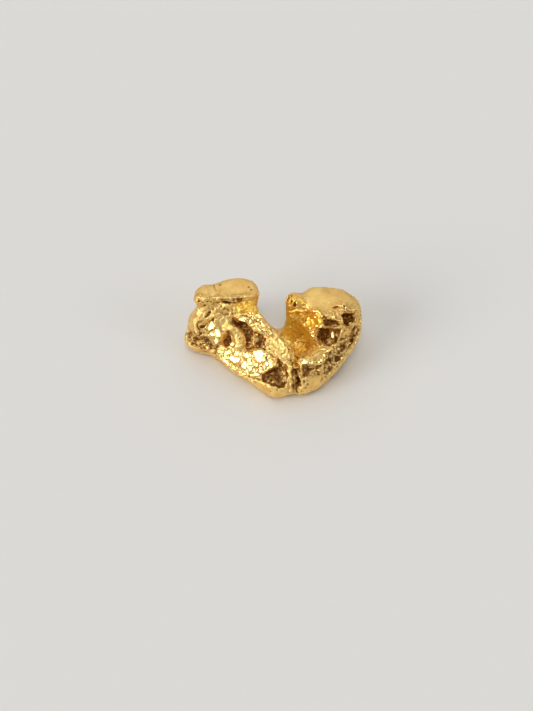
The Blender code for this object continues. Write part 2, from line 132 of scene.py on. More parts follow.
# Gold in small granules. There its colour is painted brighter and yellower, standing in for light bounced
# onto these walls, and painted shade is mostly left out of its hollows.
GRANULAR = [
    [(0.7, 1.5), (1.6, 1.5), (1.65, 0.9), (1.75, 0.55), (2.05, 0.4), (2.1, 0.0), (2.05, -0.3), (0.7, -0.35),
     (0.5, 0.3)],
    [(2.0, 1.35), (2.5, 1.3), (2.75, 0.8), (2.3, 0.5), (1.8, 0.6), (1.75, 1.2)],
    [(-2.0, 1.85), (-1.0, 1.95), (-0.75, 1.4), (-1.9, 1.3)],
]
# Granules and clods, with silt and painted shade darkening the gaps between them.
GRITTY = [
    [(-4.65, 0.25), (-4.2, 0.3), (-3.9, 0.1), (-3.5, 0.0), (-3.2, -0.35), (-3.05, -0.65), (-3.6, -0.68),
     (-4.1, -0.55), (-4.5, -0.35)],
    [(-1.05, 0.35), (-0.5, 0.12), (-0.3, -0.35), (-0.4, -0.75), (-0.75, -0.6), (-1.0, -0.5)],
    [(1.55, -1.5), (2.6, -1.5), (2.6, -2.05), (1.6, -2.15)],
    [(2.85, -1.0), (3.1, -0.7), (3.5, -0.5), (3.85, -0.3), (4.1, 0.0), (4.3, 0.45), (4.62, 0.65), (4.62, 0.3),
     (4.4, -0.25), (4.05, -0.65), (3.6, -1.3), (3.3, -1.6), (2.95, -2.0), (2.7, -1.95), (2.8, -1.45)],
    [(1.15, -1.65), (1.5, -1.65), (1.5, -2.3), (1.45, -3.0), (1.2, -3.0)],
]
# Where the gold is painted orange: a painted glow that stands in for light bounced between the gold walls of
# the hollows.
PAINTED_GLOW = [
    [(1.7, 1.5), (2.3, 1.36), (2.6, 1.2), (2.75, 0.85), (2.5, 0.55), (2.15, 0.45), (1.8, 0.6), (1.6, 1.2)],
    [(0.62, 1.9), (0.75, 2.35), (1.0, 2.3), (1.15, 2.1), (1.6, 2.1), (1.8, 1.85), (1.7, 1.62), (0.8, 1.6)],
    [(0.6, 1.52), (1.6, 1.5), (1.5, 1.1), (0.65, 1.15)],
    [(-2.1, 1.85), (-0.8, 1.95), (-0.7, 1.4), (-1.4, 1.3), (-2.0, 1.5)],
    [(1.1, -1.0), (1.45, -1.0), (1.5, -1.5), (1.6, -1.8), (1.3, -1.8), (1.05, -1.4)],
    [(1.0, -0.35), (2.0, -0.3), (2.6, -0.55), (2.4, -0.8), (1.7, -0.95), (1.2, -0.8)],
]
ZONE_FEATHER = 0.16  # width over which a zone fades out
# width over which the painted glow fades out
GLOW_FEATHER = 0.4

# Ribs, rolled edges and fold lines: half width, height, path.
RIBS = [
    # cap
    (0.15, 0.07, [(-4.0, 2.15), (-3.6, 2.06), (-3.2, 2.08), (-2.8, 2.15)]),
    (0.17, 0.05, [(-2.2, 2.15), (-1.85, 2.15), (-1.5, 2.2), (-1.1, 2.2)]),
    # left limb
    (0.10, 0.05, [(-4.6, -0.3), (-4.2, -0.6), (-3.8, -0.68), (-3.5, -0.76), (-3.1, -0.82)]),
    (0.09, 0.06, [(-3.0, -1.15), (-2.6, -1.35), (-2.2, -1.72), (-1.6, -2.05), (-1.0, -2.38)]),
    (0.08, 0.06, [(-2.65, -1.15), (-2.4, -1.35), (-2.05, -1.62), (-1.6, -1.88)]),
    (0.07, 0.06, [(-2.65, -0.62), (-2.4, -0.65)]),
    (0.07, 0.06, [(-2.92, -0.75), (-2.6, -0.8), (-2.4, -0.76)]),
    (0.07, 0.06, [(-2.85, -0.97), (-2.6, -0.92), (-2.4, -0.85), (-2.22, -0.72)]),
    (0.36, 0.04, [(-2.1, 0.45), (-1.9, 0.3), (-1.8, -0.1), (-1.75, -0.5)]),
    (0.07, 0.08, [(-0.62, 1.2), (-0.45, 0.9), (-0.2, 0.58), (0.05, 0.32), (0.35, -0.1), (0.62, -0.42),
                  (0.85, -0.85), (0.98, -1.2)]),
    (0.07, 0.05, [(-0.6, 0.95), (-0.5, 0.7), (-0.42, 0.45), (-0.2, 0.15), (0.1, -0.2), (0.35, -0.6)]),
    (0.06, 0.08, [(0.8, -0.85), (0.9, -0.65), (1.05, -0.6), (1.15, -0.85)]),
    (0.08, 0.09, [(-0.6, -1.45), (-0.58, -1.75), (-0.72, -1.97), (-0.95, -2.08)]),
    (0.06, 0.05, [(-1.05, -1.6), (-0.9, -1.5), (-0.75, -1.6), (-0.78, -1.8), (-0.95, -1.85)]),
    # pit in the bar
    (0.08, 0.10, [(0.25, -1.1), (0.18, -1.35), (0.2, -1.6)]),
    (0.07, 0.16, [(0.03, -2.22), (0.18, -2.38), (0.33, -2.5)]),
    (0.07, 0.16, [(0.36, -2.48), (0.45, -2.3), (0.52, -2.12)]),
    # toe
    (0.07, 0.07, [(0.72, -1.15), (0.92, -1.5), (1.0, -2.0), (0.98, -2.5), (0.95, -2.95)]),
    (0.07, 0.07, [(1.05, -1.25), (1.12, -1.02), (1.32, -0.95), (1.5, -1.15)]),
    (0.07, 0.06, [(1.15, -1.68), (1.35, -1.85), (1.5, -2.2), (1.55, -2.5)]),
    # scoop's sill and edges
    (0.09, 0.15, [(1.55, -1.27), (1.85, -1.32), (2.1, -1.35), (2.35, -1.4), (2.6, -1.33), (2.72, -1.15),
                  (2.78, -0.98)]),
    (0.08, 0.12, [(2.95, -0.8), (3.12, -0.66), (3.3, -0.5), (3.4, -0.36)]),
    (0.06, 0.08, [(2.3, -0.32), (2.55, -0.5), (2.78, -0.66)]),
    (0.06, 0.08, [(2.22, -0.08), (2.5, -0.25), (2.72, -0.42)]),
    (0.10, 0.06, [(1.6, -0.9), (1.9, -1.1), (2.15, -1.2)]),
    (0.10, 0.07, [(1.66, 1.4), (1.72, 1.0), (1.7, 0.75), (1.78, 0.58), (2.1, 0.48), (2.35, 0.58)]),
    (0.08, 0.10, [(2.15, 1.36), (2.3, 1.39), (2.45, 1.38), (2.58, 1.24), (2.68, 1.12)]),
    (0.08, 0.11, [(2.25, 0.38), (2.15, 0.22), (2.17, 0.08)]),
    (0.07, 0.05, [(1.08, 1.8), (1.15, 1.95), (1.3, 1.93), (1.33, 1.78)]),
    # dome
    (0.08, 0.08, [(2.6, 0.52), (2.9, 0.53), (3.3, 0.5), (3.62, 0.52), (3.75, 0.75), (3.68, 1.0)]),
    (0.07, 0.10, [(3.3, 1.3), (3.27, 1.1), (3.35, 0.93), (3.5, 0.87), (3.63, 0.92)]),
    (0.06, 0.05, [(3.48, 1.45), (3.52, 1.15)]),
    (0.09, 0.11, [(3.8, 1.68), (3.95, 1.56), (4.15, 1.45), (4.45, 1.47)]),
    (0.08, 0.11, [(4.4, 1.12), (4.43, 0.95), (4.35, 0.8), (4.25, 0.65), (4.08, 0.54)]),
    (0.08, 0.08, [(3.55, -0.1), (3.68, 0.1), (3.78, 0.4)]),
    # outer band
    (0.07, 0.06, [(4.75, 1.1), (4.68, 0.3), (4.5, -0.3), (4.15, -0.75), (3.7, -1.3), (3.2, -1.9),
                  (2.7, -2.35)]),
    (0.06, 0.07, [(4.05, -0.6), (4.25, -0.42), (4.38, -0.2), (4.5, 0.1)]),
    (0.06, 0.07, [(3.58, -1.42), (3.75, -1.2), (3.85, -1.0)]),
    (0.07, 0.08, [(2.74, -1.25), (2.67, -1.5), (2.68, -1.8), (2.78, -2.0), (2.78, -2.25)]),
    (0.06, 0.07, [(2.8, -1.6), (2.95, -1.75), (3.2, -1.7), (3.4, -1.5)]),
    (0.06, 0.07, [(3.02, -1.38), (3.15, -1.6)]),
    (0.06, 0.06, [(3.85, 0.1), (4.1, 0.1), (4.35, 0.28)]),
]

# Grooves, slits and dark creases: half width, depth, path.
GROOVES = [
    # under the cap
    (0.07, 0.11, [(-3.98, 1.92), (-3.6, 1.88), (-3.2, 1.85), (-2.8, 1.88)]),
    (0.06, 0.09, [(-1.7, 1.78), (-1.55, 1.85)]),
    (0.06, 0.09, [(-1.62, 1.33), (-1.45, 1.42)]),
    (0.07, 0.10, [(-1.65, 1.15), (-1.45, 1.14), (-1.3, 1.07), (-1.12, 0.95), (-1.04, 0.8)]),
    (0.06, 0.09, [(-2.62, 1.5), (-2.42, 1.46), (-2.32, 1.36)]),
    (0.06, 0.09, [(-2.75, 1.3), (-2.57, 1.2), (-2.35, 1.24)]),
    (0.08, 0.13, [(-3.38, 1.32), (-3.45, 1.22), (-3.58, 1.08)]),
    (0.07, 0.05, [(-3.2, 2.95), (-3.15, 2.72), (-3.02, 2.5)]),
    # left limb
    (0.09, 0.14, [(-3.22, 0.93), (-3.4, 0.8)]),
    (0.07, 0.12, [(-3.5, 0.72), (-3.7, 0.57), (-3.85, 0.52)]),
    (0.08, 0.12, [(-3.82, 0.78), (-4.0, 0.68), (-4.02, 0.52), (-3.9, 0.35), (-3.85, 0.2), (-3.92, 0.08)]),
    (0.08, 0.11, [(-2.98, -0.48), (-3.05, -0.75), (-3.06, -1.0)]),
    (0.05, 0.07, [(-3.9, -0.79), (-3.4, -0.87), (-3.1, -0.94)]),
    (0.05, 0.07, [(-2.9, -0.86), (-2.6, -0.86), (-2.4, -0.8)]),
    (0.06, 0.08, [(-2.5, -1.4), (-2.1, -1.72), (-1.6, -1.98), (-1.15, -2.16), (-0.7, -2.27)]),
    (0.09, 0.12, [(-2.08, 0.85), (-1.85, 0.65)]),
    (0.08, 0.12, [(-1.3, 0.46), (-1.0, 0.3), (-0.7, 0.16), (-0.38, 0.05)]),
    (0.06, 0.09, [(-0.97, 0.92), (-0.75, 0.78)]),
    (0.06, 0.09, [(-0.66, 0.72), (-0.6, 0.54)]),
    (0.06, 0.08, [(-0.28, 0.52), (0.0, 0.3)]),
    (0.06, 0.09, [(-2.02, -1.47), (-1.65, -1.4), (-1.45, -1.2)]),
    (0.06, 0.08, [(-0.42, -0.95), (-0.1, -0.95), (0.05, -1.06)]),
    (0.06, 0.08, [(-0.62, -1.42), (-0.4, -1.38), (-0.25, -1.22)]),
    (0.06, 0.08, [(-0.6, -0.52), (-0.42, -0.68), (-0.45, -0.85)]),
    (0.07, 0.08, [(-1.5, -1.15), (-1.15, -1.1), (-1.0, -1.2)]),
    # toe
    (0.07, 0.12, [(1.02, -1.25), (1.1, -1.55), (1.12, -2.15), (1.16, -2.95)]),
    (0.08, 0.14, [(1.16, -1.78), (1.3, -2.02), (1.4, -2.25), (1.37, -2.45)]),
    (0.07, 0.10, [(1.3, -2.85), (1.38, -3.0)]),
    # scoop and dome
    (0.07, 0.11, [(1.65, -1.4), (1.88, -1.52)]),
    (0.06, 0.08, [(2.0, -1.46), (2.4, -1.51), (2.66, -1.43)]),
    (0.08, 0.12, [(2.82, -1.18), (2.86, -1.0), (2.98, -0.9)]),
    (0.05, 0.09, [(2.36, -0.2), (2.6, -0.38)]),
    (0.06, 0.13, [(0.86, 2.22), (0.83, 1.95)]),
    (0.05, 0.11, [(1.02, 2.25), (1.03, 1.75)]),
    (0.06, 0.15, [(1.21, 1.82), (1.17, 1.62)]),
    (0.06, 0.08, [(1.05, 1.46), (1.3, 1.48), (1.7, 1.47)]),
    (0.07, 0.12, [(2.65, 1.1), (2.9, 1.0)]),
    (0.07, 0.14, [(3.28, 1.6), (3.55, 1.63), (3.88, 1.52)]),
    (0.05, 0.10, [(3.4, 1.12), (3.44, 1.0)]),
    # outer band
    (0.06, 0.11, [(4.46, 0.58), (4.42, 0.4)]),
    (0.06, 0.10, [(4.68, 0.6), (4.6, 0.25), (4.58, 0.05)]),
    (0.07, 0.12, [(3.62, -0.16), (3.88, -0.12)]),
    (0.07, 0.12, [(3.6, -0.52), (3.82, -0.5)]),
    (0.06, 0.10, [(3.9, -0.58), (4.12, -0.56)]),
    (0.07, 0.11, [(3.04, -1.28), (3.2, -1.5), (3.3, -1.48)]),
    (0.08, 0.12, [(2.7, -1.65), (2.78, -1.92)]),
    (0.05, 0.09, [(3.4, -1.7), (3.75, -1.35), (4.1, -0.9)]),
]

# Hollows with steep walls: depth, width of the wall, outline.
HOLLOWS = [
    (0.20, 0.06, [(-2.74, 2.08), (-2.3, 2.03), (-1.6, 2.05), (-1.65, 1.86), (-2.3, 1.83), (-2.72, 1.88)]),
    (0.11, 0.14, [(-2.4, 0.3), (-2.25, 0.3), (-2.18, 0.0), (-2.25, -0.3), (-2.45, -0.5), (-2.62, -0.48),
                  (-2.6, -0.3), (-2.42, -0.05)]),
    (0.24, 0.13, [(-1.85, 0.72), (-1.58, 0.4), (-1.42, 0.1), (-1.35, -0.2), (-1.2, -0.25), (-1.05, -0.05),
                  (-1.1, 0.25), (-1.3, 0.5), (-1.42, 0.75), (-1.65, 0.82)]),
    (0.09, 0.10, [(-1.4, -0.35), (-1.1, -0.3), (-0.95, -0.65), (-1.15, -0.85), (-1.4, -0.8)]),
    (0.22, 0.10, [(0.3, -1.15), (0.45, -1.3), (0.75, -1.55), (0.82, -2.0), (0.65, -2.7), (0.45, -2.78),
                  (0.0, -2.55), (-0.55, -2.3), (-0.6, -2.0), (-0.2, -1.8), (0.15, -1.65), (0.27, -1.5)]),
    (0.14, 0.08, [(1.2, -1.05), (1.4, -1.1), (1.45, -1.3), (1.4, -1.55), (1.25, -1.6), (1.15, -1.4)]),
    (0.25, 0.09, [(2.25, 0.12), (2.45, 0.35), (2.75, 0.45), (3.3, 0.4), (3.62, 0.35), (3.5, -0.05),
                  (3.35, -0.38), (3.1, -0.46), (2.85, -0.38), (2.55, -0.13)]),
    (0.20, 0.09, [(2.75, 0.95), (2.9, 0.9), (3.3, 0.85), (3.55, 0.7), (3.5, 0.6), (3.1, 0.57), (2.85, 0.65)]),
    (0.25, 0.08, [(3.72, 1.2), (3.82, 1.3), (4.1, 1.24), (4.42, 1.25), (4.38, 1.0), (4.2, 0.72), (4.05, 0.64),
                  (3.84, 0.72), (3.8, 0.95)]),
    (0.14, 0.08, [(4.12, 0.05), (4.35, 0.15), (4.45, 0.08), (4.3, -0.3), (4.15, -0.2)]),
    (0.13, 0.08, [(3.35, -1.1), (3.5, -1.05), (3.62, -1.15), (3.5, -1.38), (3.36, -1.35)]),
    (0.08, 0.08, [(1.55, -2.0), (1.8, -2.0), (1.75, -2.2), (1.6, -2.25)]),
    (0.08, 0.08, [(1.95, -1.62), (2.2, -1.65), (2.15, -1.82), (1.95, -1.78)]),
]

# Small round pits: across, up, radius.
PITS = [
    (-2.8, 2.88, 0.07), (-1.27, 2.7, 0.06), (-1.12, 2.6, 0.06), (-2.03, 2.19, 0.05), (-0.83, 2.4, 0.05),
    (2.85, 2.6, 0.04), (4.18, 2.3, 0.05), (4.33, 2.15, 0.04), (4.62, 1.75, 0.05), (4.07, 1.88, 0.04),
    (-3.66, 1.68, 0.08), (-3.18, 1.48, 0.06), (-2.15, 1.2, 0.06), (-2.75, 1.65, 0.06), (-3.75, 0.88, 0.05),
    (-4.4, 0.1, 0.07), (-4.25, -0.07, 0.06), (-4.3, -0.4, 0.08), (-4.1, -0.5, 0.07), (-3.78, -0.12, 0.08),
    (-4.5, -0.25, 0.05), (-3.65, 0.22, 0.06), (-2.9, -0.65, 0.06), (-0.6, -0.05, 0.08), (-0.65, -0.3, 0.07),
    (-0.45, -0.15, 0.06), (-0.85, -0.35, 0.06), (-0.15, -0.32, 0.05), (0.07, -0.8, 0.05), (-2.35, -1.4, 0.06),
    (-0.4, -2.65, 0.07), (0.28, -2.85, 0.07), (-0.15, -2.97, 0.05), (0.87, -2.8, 0.05), (0.83, -1.95, 0.06),
    (1.37, -2.45, 0.07), (1.7, -2.43, 0.09), (1.9, -2.6, 0.09), (1.8, -2.75, 0.07), (1.9, -2.37, 0.05),
    (1.5, -2.6, 0.06), (2.37, -2.03, 0.07), (2.28, -1.88, 0.06), (1.43, -1.55, 0.06), (2.3, -1.12, 0.08),
    (1.35, -0.87, 0.05), (3.08, -0.75, 0.07), (1.82, 1.85, 0.05), (1.68, 1.68, 0.05), (2.9, 1.27, 0.05),
    (3.0, 1.07, 0.05), (3.93, 0.35, 0.06), (4.25, -0.25, 0.07), (3.55, -0.9, 0.07), (3.0, -1.52, 0.06),
    (3.1, -1.82, 0.07), (2.87, -2.1, 0.07), (3.53, -1.6, 0.06), (2.67, -2.3, 0.06), (4.65, 1.0, 0.05),
    (4.1, -0.92, 0.06), (3.75, -0.72, 0.05), (4.0, 0.5, 0.05), (2.8, -1.4, 0.05),
]

# Where the hollows' silt and painted shade are lifted, so that a lighter facet shows: half width, path.
SILT_AND_SHADE_LIFTED = [
    (0.22, [(3.17, 0.35), (3.2, -0.3)]),
    (0.12, [(0.03, -2.22), (0.18, -2.38), (0.33, -2.5), (0.45, -2.3), (0.52, -2.12)]),
    (0.12, [(3.5, 1.45), (3.52, 1.1)]),
    (0.12, [(4.38, 1.12), (4.42, 0.9), (4.3, 0.72), (4.15, 0.6)]),
    (0.07, [(0.75, -2.5), (0.6, -1.7), (0.4, -1.3)]),
    (0.16, [(1.22, -1.05), (1.3, -1.5)]),
]

# Flat flakes of foil: outlines. Each faces the softbox that it is nearest to facing.
FLAKES = [
    [(-3.27, 0.88), (-3.57, 0.48), (-3.42, 0.3), (-3.25, 0.46), (-3.04, 0.46), (-3.08, 0.7)],
    [(-3.06, 0.52), (-2.93, 0.45), (-2.73, 0.08), (-2.95, 0.03), (-3.08, 0.28)],
    [(-3.5, 0.27), (-3.4, 0.06), (-2.97, 0.02), (-3.1, 0.18), (-3.3, 0.2)],
    [(-3.18, -0.02), (-2.95, -0.02), (-2.85, -0.3), (-3.05, -0.25)],
    [(-3.62, -0.48), (-3.42, -0.46), (-3.4, -0.65), (-3.55, -0.66)],
    [(-2.45, -1.2), (-2.2, -0.97), (-1.6, -1.05), (-1.75, -1.3), (-2.1, -1.45)],
    [(-1.67, -1.62), (-1.52, -1.3), (-1.3, -1.35), (-1.43, -1.82)],
    [(-1.3, -1.6), (-1.12, -1.5), (-1.08, -1.85), (-1.25, -1.9)],
    [(-0.97, -0.72), (-0.62, -0.68), (-0.45, -0.9), (-0.55, -1.32), (-0.75, -1.35), (-0.95, -1.0)],
    [(-1.85, 0.95), (-1.55, 1.06), (-1.38, 0.95), (-1.65, 0.85)],
    [(-1.37, 0.96), (-1.15, 0.96), (-1.13, 0.75), (-1.3, 0.63)],
    [(-1.15, 1.38), (-0.93, 1.37), (-0.98, 1.2), (-1.12, 1.22)],
    [(-0.67, 0.92), (-0.5, 0.9), (-0.38, 0.6), (-0.46, 0.38), (-0.55, 0.6)],
    [(-2.3, -0.32), (-2.1, -0.32), (-2.1, -0.5), (-2.25, -0.5)],
    [(-2.38, -0.7), (-2.2, -0.68), (-2.25, -0.88), (-2.42, -0.88)],
    [(0.5, -0.9), (0.68, -0.92), (0.66, -1.1), (0.52, -1.08)],
    [(-2.68, -1.0), (-2.5, -0.92), (-2.42, -1.05), (-2.6, -1.14)],
    [(-1.52, -0.95), (-1.3, -0.88), (-1.12, -1.0), (-1.35, -1.12)],
    [(-0.45, -1.45), (-0.3, -1.35), (-0.18, -1.5), (-0.35, -1.62)],
    [(-0.92, -1.42), (-0.76, -1.4), (-0.74, -1.58), (-0.88, -1.64)],
    [(-1.05, -1.75), (-0.9, -1.7), (-0.85, -1.9), (-1.02, -1.95)],
    [(-0.3, -0.72), (-0.15, -0.7), (-0.12, -0.88), (-0.28, -0.9)],
    [(0.15, -0.2), (0.28, -0.2), (0.26, -0.34), (0.14, -0.32)],
    [(-0.95, 0.75), (-0.8, 0.78), (-0.7, 0.6), (-0.85, 0.56)],
    [(3.12, 0.28), (3.28, 0.25), (3.3, -0.05), (3.16, -0.1)],
]

# Small beads that glint, each facing a softbox too: across, up, radius.
GLINTS = [
    (-3.9, 2.25, 0.09), (-3.6, 2.05, 0.07), (-3.38, 2.05, 0.08), (-3.1, 2.09, 0.09), (-2.9, 2.15, 0.09),
    (-1.85, 2.16, 0.06), (-1.58, 2.2, 0.08), (-1.47, 2.2, 0.08), (-1.05, 2.5, 0.05), (-1.27, 3.03, 0.04),
    (-3.46, 1.38, 0.06), (-3.67, 1.1, 0.05), (-4.22, 1.08, 0.06), (-4.22, 0.96, 0.06), (-1.17, 1.1, 0.06),
    (-1.1, 0.45, 0.05), (-4.28, 0.15, 0.06), (-4.52, -0.12, 0.05), (-4.23, -0.15, 0.06), (-3.36, -0.34, 0.06),
    (-3.78, 0.16, 0.06), (-3.82, -0.28, 0.06), (-3.7, -0.3, 0.05), (-2.08, -0.68, 0.05), (-1.9, -0.6, 0.05),
    (-1.83, -0.88, 0.07), (-2.4, 0.55, 0.06), (-2.2, 0.62, 0.05), (-0.85, 0.12, 0.05), (-0.65, 0.05, 0.05),
    (-0.93, -0.2, 0.05), (-0.95, -0.32, 0.05), (-0.2, 0.33, 0.07), (0.2, -0.82, 0.06), (0.5, -0.8, 0.05),
    (0.75, -1.2, 0.08), (0.82, -1.45, 0.06), (-0.2, -1.12, 0.07), (-0.3, -1.45, 0.07), (0.05, -1.4, 0.07),
    (1.7, 1.9, 0.06), (2.92, 2.4, 0.05), (2.25, 1.05, 0.06), (2.6, 0.87, 0.06), (2.45, 0.58, 0.07),
    (1.75, 0.63, 0.06), (2.2, -0.5, 0.06), (2.32, -0.68, 0.05), (2.5, -0.65, 0.06), (2.65, -1.05, 0.06),
    (1.75, -1.82, 0.06), (2.2, -1.85, 0.05), (2.32, -1.9, 0.05), (2.43, -1.8, 0.05), (2.1, -2.05, 0.06),
    (2.22, -2.08, 0.07), (3.23, 0.12, 0.08), (4.22, 0.9, 0.06), (4.42, -0.02, 0.05), (4.27, -0.12, 0.05),
    (3.95, -0.15, 0.06), (3.65, -0.28, 0.06), (3.75, -0.55, 0.05), (3.6, -0.65, 0.06), (3.72, -0.85, 0.06),
    (3.55, -1.0, 0.05), (2.95, -1.68, 0.06), (3.4, -0.75, 0.05), (4.12, -0.35, 0.05), (3.3, -1.25, 0.05),
    (-4.45, 0.05, 0.05), (-4.1, 0.0, 0.05), (-4.35, -0.25, 0.05), (-3.95, -0.35, 0.05), (-3.6, -0.1, 0.05),
    (-3.5, -0.3, 0.05), (-4.0, 0.3, 0.05), (-2.75, 1.35, 0.05), (-2.95, 1.15, 0.05), (-3.05, 1.6, 0.05),
    (-0.75, -0.1, 0.05), (-0.55, -0.2, 0.05), (-0.8, -0.45, 0.05), (0.0, -0.5, 0.06), (-0.1, -0.75, 0.05),
    (0.25, -0.35, 0.06), (1.35, -1.2, 0.05), (1.2, -1.35, 0.04), (1.3, -2.1, 0.05), (4.57, 1.88, 0.05),
    (4.63, 0.42, 0.05), (-1.17, -0.9, 0.07),
]

# Bright edges, which face a softbox along their length: radius, path.
GLEAMS = [
    (0.11, [(1.6, -1.32), (1.9, -1.34), (2.2, -1.36), (2.5, -1.4), (2.65, -1.27), (2.74, -1.0)]),
    (0.10, [(2.98, -0.78), (3.15, -0.64), (3.3, -0.48)]),
    (0.08, [(2.42, -0.4), (2.58, -0.52), (2.75, -0.66)]),
    (0.09, [(2.2, 0.36), (2.13, 0.22), (2.15, 0.08)]),
    (0.08, [(2.2, 1.37), (2.42, 1.38), (2.55, 1.27), (2.66, 1.13)]),
    (0.08, [(3.28, 1.3), (3.28, 1.08), (3.4, 0.9), (3.6, 0.88)]),
    (0.09, [(3.82, 1.66), (4.0, 1.55), (4.15, 1.45), (4.45, 1.47)]),
    (0.08, [(4.44, 0.92), (4.32, 0.74), (4.12, 0.6)]),
    (0.08, [(1.64, 0.7), (1.8, 0.54), (2.0, 0.47)]),
    (0.08, [(2.36, 0.6), (2.56, 0.5)]),
    (0.08, [(1.1, 1.86), (1.2, 1.97), (1.32, 1.85)]),
    (0.07, [(4.72, 0.85), (4.6, 0.1), (4.42, -0.32)]),
    (0.07, [(3.55, -1.4), (3.75, -1.12)]),
    (0.09, [(-3.2, 2.04), (-2.85, 2.13)]),
    (0.09, [(0.4, -0.2), (0.7, -0.42)]),
    (0.08, [(0.78, -0.85), (0.9, -0.68), (1.08, -0.66), (1.12, -0.85)]),
    (0.09, [(-0.6, -1.45), (-0.6, -1.78), (-0.75, -2.0), (-0.93, -2.06)]),
    (0.08, [(0.72, -1.15), (0.92, -1.5), (1.0, -2.0), (0.98, -2.6)]),
    (0.08, [(-0.62, 0.92), (-0.5, 0.68), (-0.42, 0.42)]),
    (0.08, [(-2.65, -1.2), (-2.3, -1.5), (-2.0, -1.75), (-1.5, -2.0)]),
    (0.08, [(-2.65, -0.64), (-2.4, -0.66)]),
    (0.08, [(-2.9, -0.78), (-2.6, -0.8), (-2.42, -0.76)]),
    (0.08, [(-2.85, -0.97), (-2.6, -0.93), (-2.4, -0.86)]),
]


def hex_colour(code):
    """The linear colour, with alpha, of an sRGB hex code."""
    channels = [int(code[i : i + 2], 16) / 255 for i in (1, 3, 5)]
    return tuple(c / 12.92 if c <= 0.04045 else ((c + 0.055) / 1.055) ** 2.4 for c in channels) + (1.0,)


class SkinSettings(bpy.types.PropertyGroup):
    """Sizes of the nugget's relief"""

    grid: FloatProperty(name="Grid", description="Spacing of the skin's mesh", default=0.034 * MM,
                        unit="LENGTH", precision=6)
    relief: FloatProperty(name="Relief", description="Strength of the drawn relief", default=1.0,
                          subtype="FACTOR")
    crumple: FloatProperty(name="Crumple", description="Strength of the foil's folds", default=1.0,
                           subtype="FACTOR")
    grain: FloatProperty(name="Grain", description="Height of the fine grain", default=0.038 * MM,
                         unit="LENGTH", precision=6)
    triangles: IntProperty(name="Triangles", description="The most that the skin may have", default=195000)


class GoldSettings(bpy.types.PropertyGroup):
    """Finish of the gold"""

    bright: FloatVectorProperty(name="Bright gold", description="Colour of clean gold", size=4,
                                subtype="COLOR", default=hex_colour("#FFDC8A"))
    deep: FloatVectorProperty(name="Deep gold", description="Colour of gold in its deeper clouds", size=4,
                              subtype="COLOR", default=hex_colour("#F0C272"))
    # Painted light: this brighter, yellower gold stands in for light bounced onto the granular walls.
    granular_glow: FloatVectorProperty(name="Fresh gold", description="Colour of gold that nothing has rubbed",
                               size=4, subtype="COLOR", default=hex_colour("#FFE27C"))
    # Partly painted light: in front this orange is a painted glow of light bounced between gold walls; on the
    # hidden sides it is a random iron tint.
    stain_and_glow: FloatVectorProperty(name="Stain", description="Colour of gold under a thin iron stain", size=4,
                               subtype="COLOR", default=hex_colour("#FFC850"))
    # Painted shade as well as silt: this brown darkens the pits, the hollows and the gaps between grains,
    # where shade falls.
    silt_and_shade: FloatVectorProperty(name="Silt", description="Colour of the silt left in the pits", size=4,
                              subtype="COLOR", default=hex_colour("#7A4A1A"))
    foil_roughness: FloatProperty(name="Foil roughness", description="Roughness of crumpled foil",
                                  default=0.16, subtype="FACTOR")
    worn_roughness: FloatProperty(name="Worn roughness", description="Roughness of worn gold",
                                  default=0.5, subtype="FACTOR")


class StageSettings(bpy.types.PropertyGroup):
    """Floor and light"""

    floor: FloatVectorProperty(name="Floor", description="Colour of the floor", size=4, subtype="COLOR",
                               default=hex_colour("#E2E0DC"))
    width: FloatProperty(name="Floor width", description="Width of the floor", default=0.4, unit="LENGTH")
    light: FloatProperty(name="Light", description="Brightness of the studio's light", default=1.0)


def smooth_step(values):
    """Rises from 0 to 1 with level ends."""
    values = np.clip(values, 0.0, 1.0)
    return values * values * (3 - 2 * values)


def bump(distance, radius):
    """A round-topped profile that reaches 0 at the radius."""
    return np.clip(1 - (distance / radius) ** 2, 0, None) ** 2


def curved(path, steps=5):
    """The path as a smooth curve through its points."""
    if len(path) < 3:
        return np.array(path)
    points = np.array([path[0]] + list(path) + [path[-1]])
    curve = []
    for before, start, end, after in zip(points, points[1:], points[2:], points[3:]):
        square = 2 * before - 5 * start + 4 * end - after
        cube = 3 * start - before - 3 * end + after
        for step in range(steps):
            t = step / steps
            curve.append(0.5 * (2 * start + (end - before) * t + square * t ** 2 + cube * t ** 3))
    return np.array(curve + [points[-1]])


def nearest_on(places, path):
    """The spot on the path nearest to each place, and how far it is."""
    spots = places.copy()
    nearest = np.full(len(places), np.inf)
    for start, end in zip(path, path[1:]):
        run = end - start
        share = np.clip((places - start) @ run / max(run @ run, 1e-9), 0, 1)
        here = start + share[:, None] * run
        gap = np.linalg.norm(places - here, axis=1)
        closer = gap < nearest
        nearest[closer] = gap[closer]
        spots[closer] = here[closer]
    return spots, nearest


def closed(outline):
    """The outline as a path that ends where it starts."""
    return np.array(list(outline) + [outline[0]])


def outline_depth(places, outline):
    """How far each place lies inside the outline; less than 0 is outside."""
    path = closed(outline)
    inside = np.zeros(len(places), bool)
    across, up = places[:, 0], places[:, 1]
    for (x0, y0), (x1, y1) in zip(path, path[1:]):
        if y0 != y1:
            straddles = (y0 > up) != (y1 > up)
            inside ^= straddles & (across < (x1 - x0) * (up - y0) / (y1 - y0) + x0)
    distance = nearest_on(places, path)[1]
    return np.where(inside, distance, -distance)


def near(places, corners, margin):
    """Picks the places in a box round some corners, so that each stroke works on a few of them."""
    low, high = corners.min(axis=0) - margin, corners.max(axis=0) + margin
    return np.flatnonzero(((places > low) & (places < high)).all(axis=1))


def beside(places, path, width):
    """The places near a smooth path, and how far each is from it."""
    line = curved(path)
    chosen = near(places, line, width)
    return chosen, nearest_on(places[chosen], line)[1]


def within(places, outline, edge):
    """The places in an outline or near its edge, and how far inside each lies."""
    chosen = near(places, np.array(outline), edge)
    return chosen, outline_depth(places[chosen], outline)


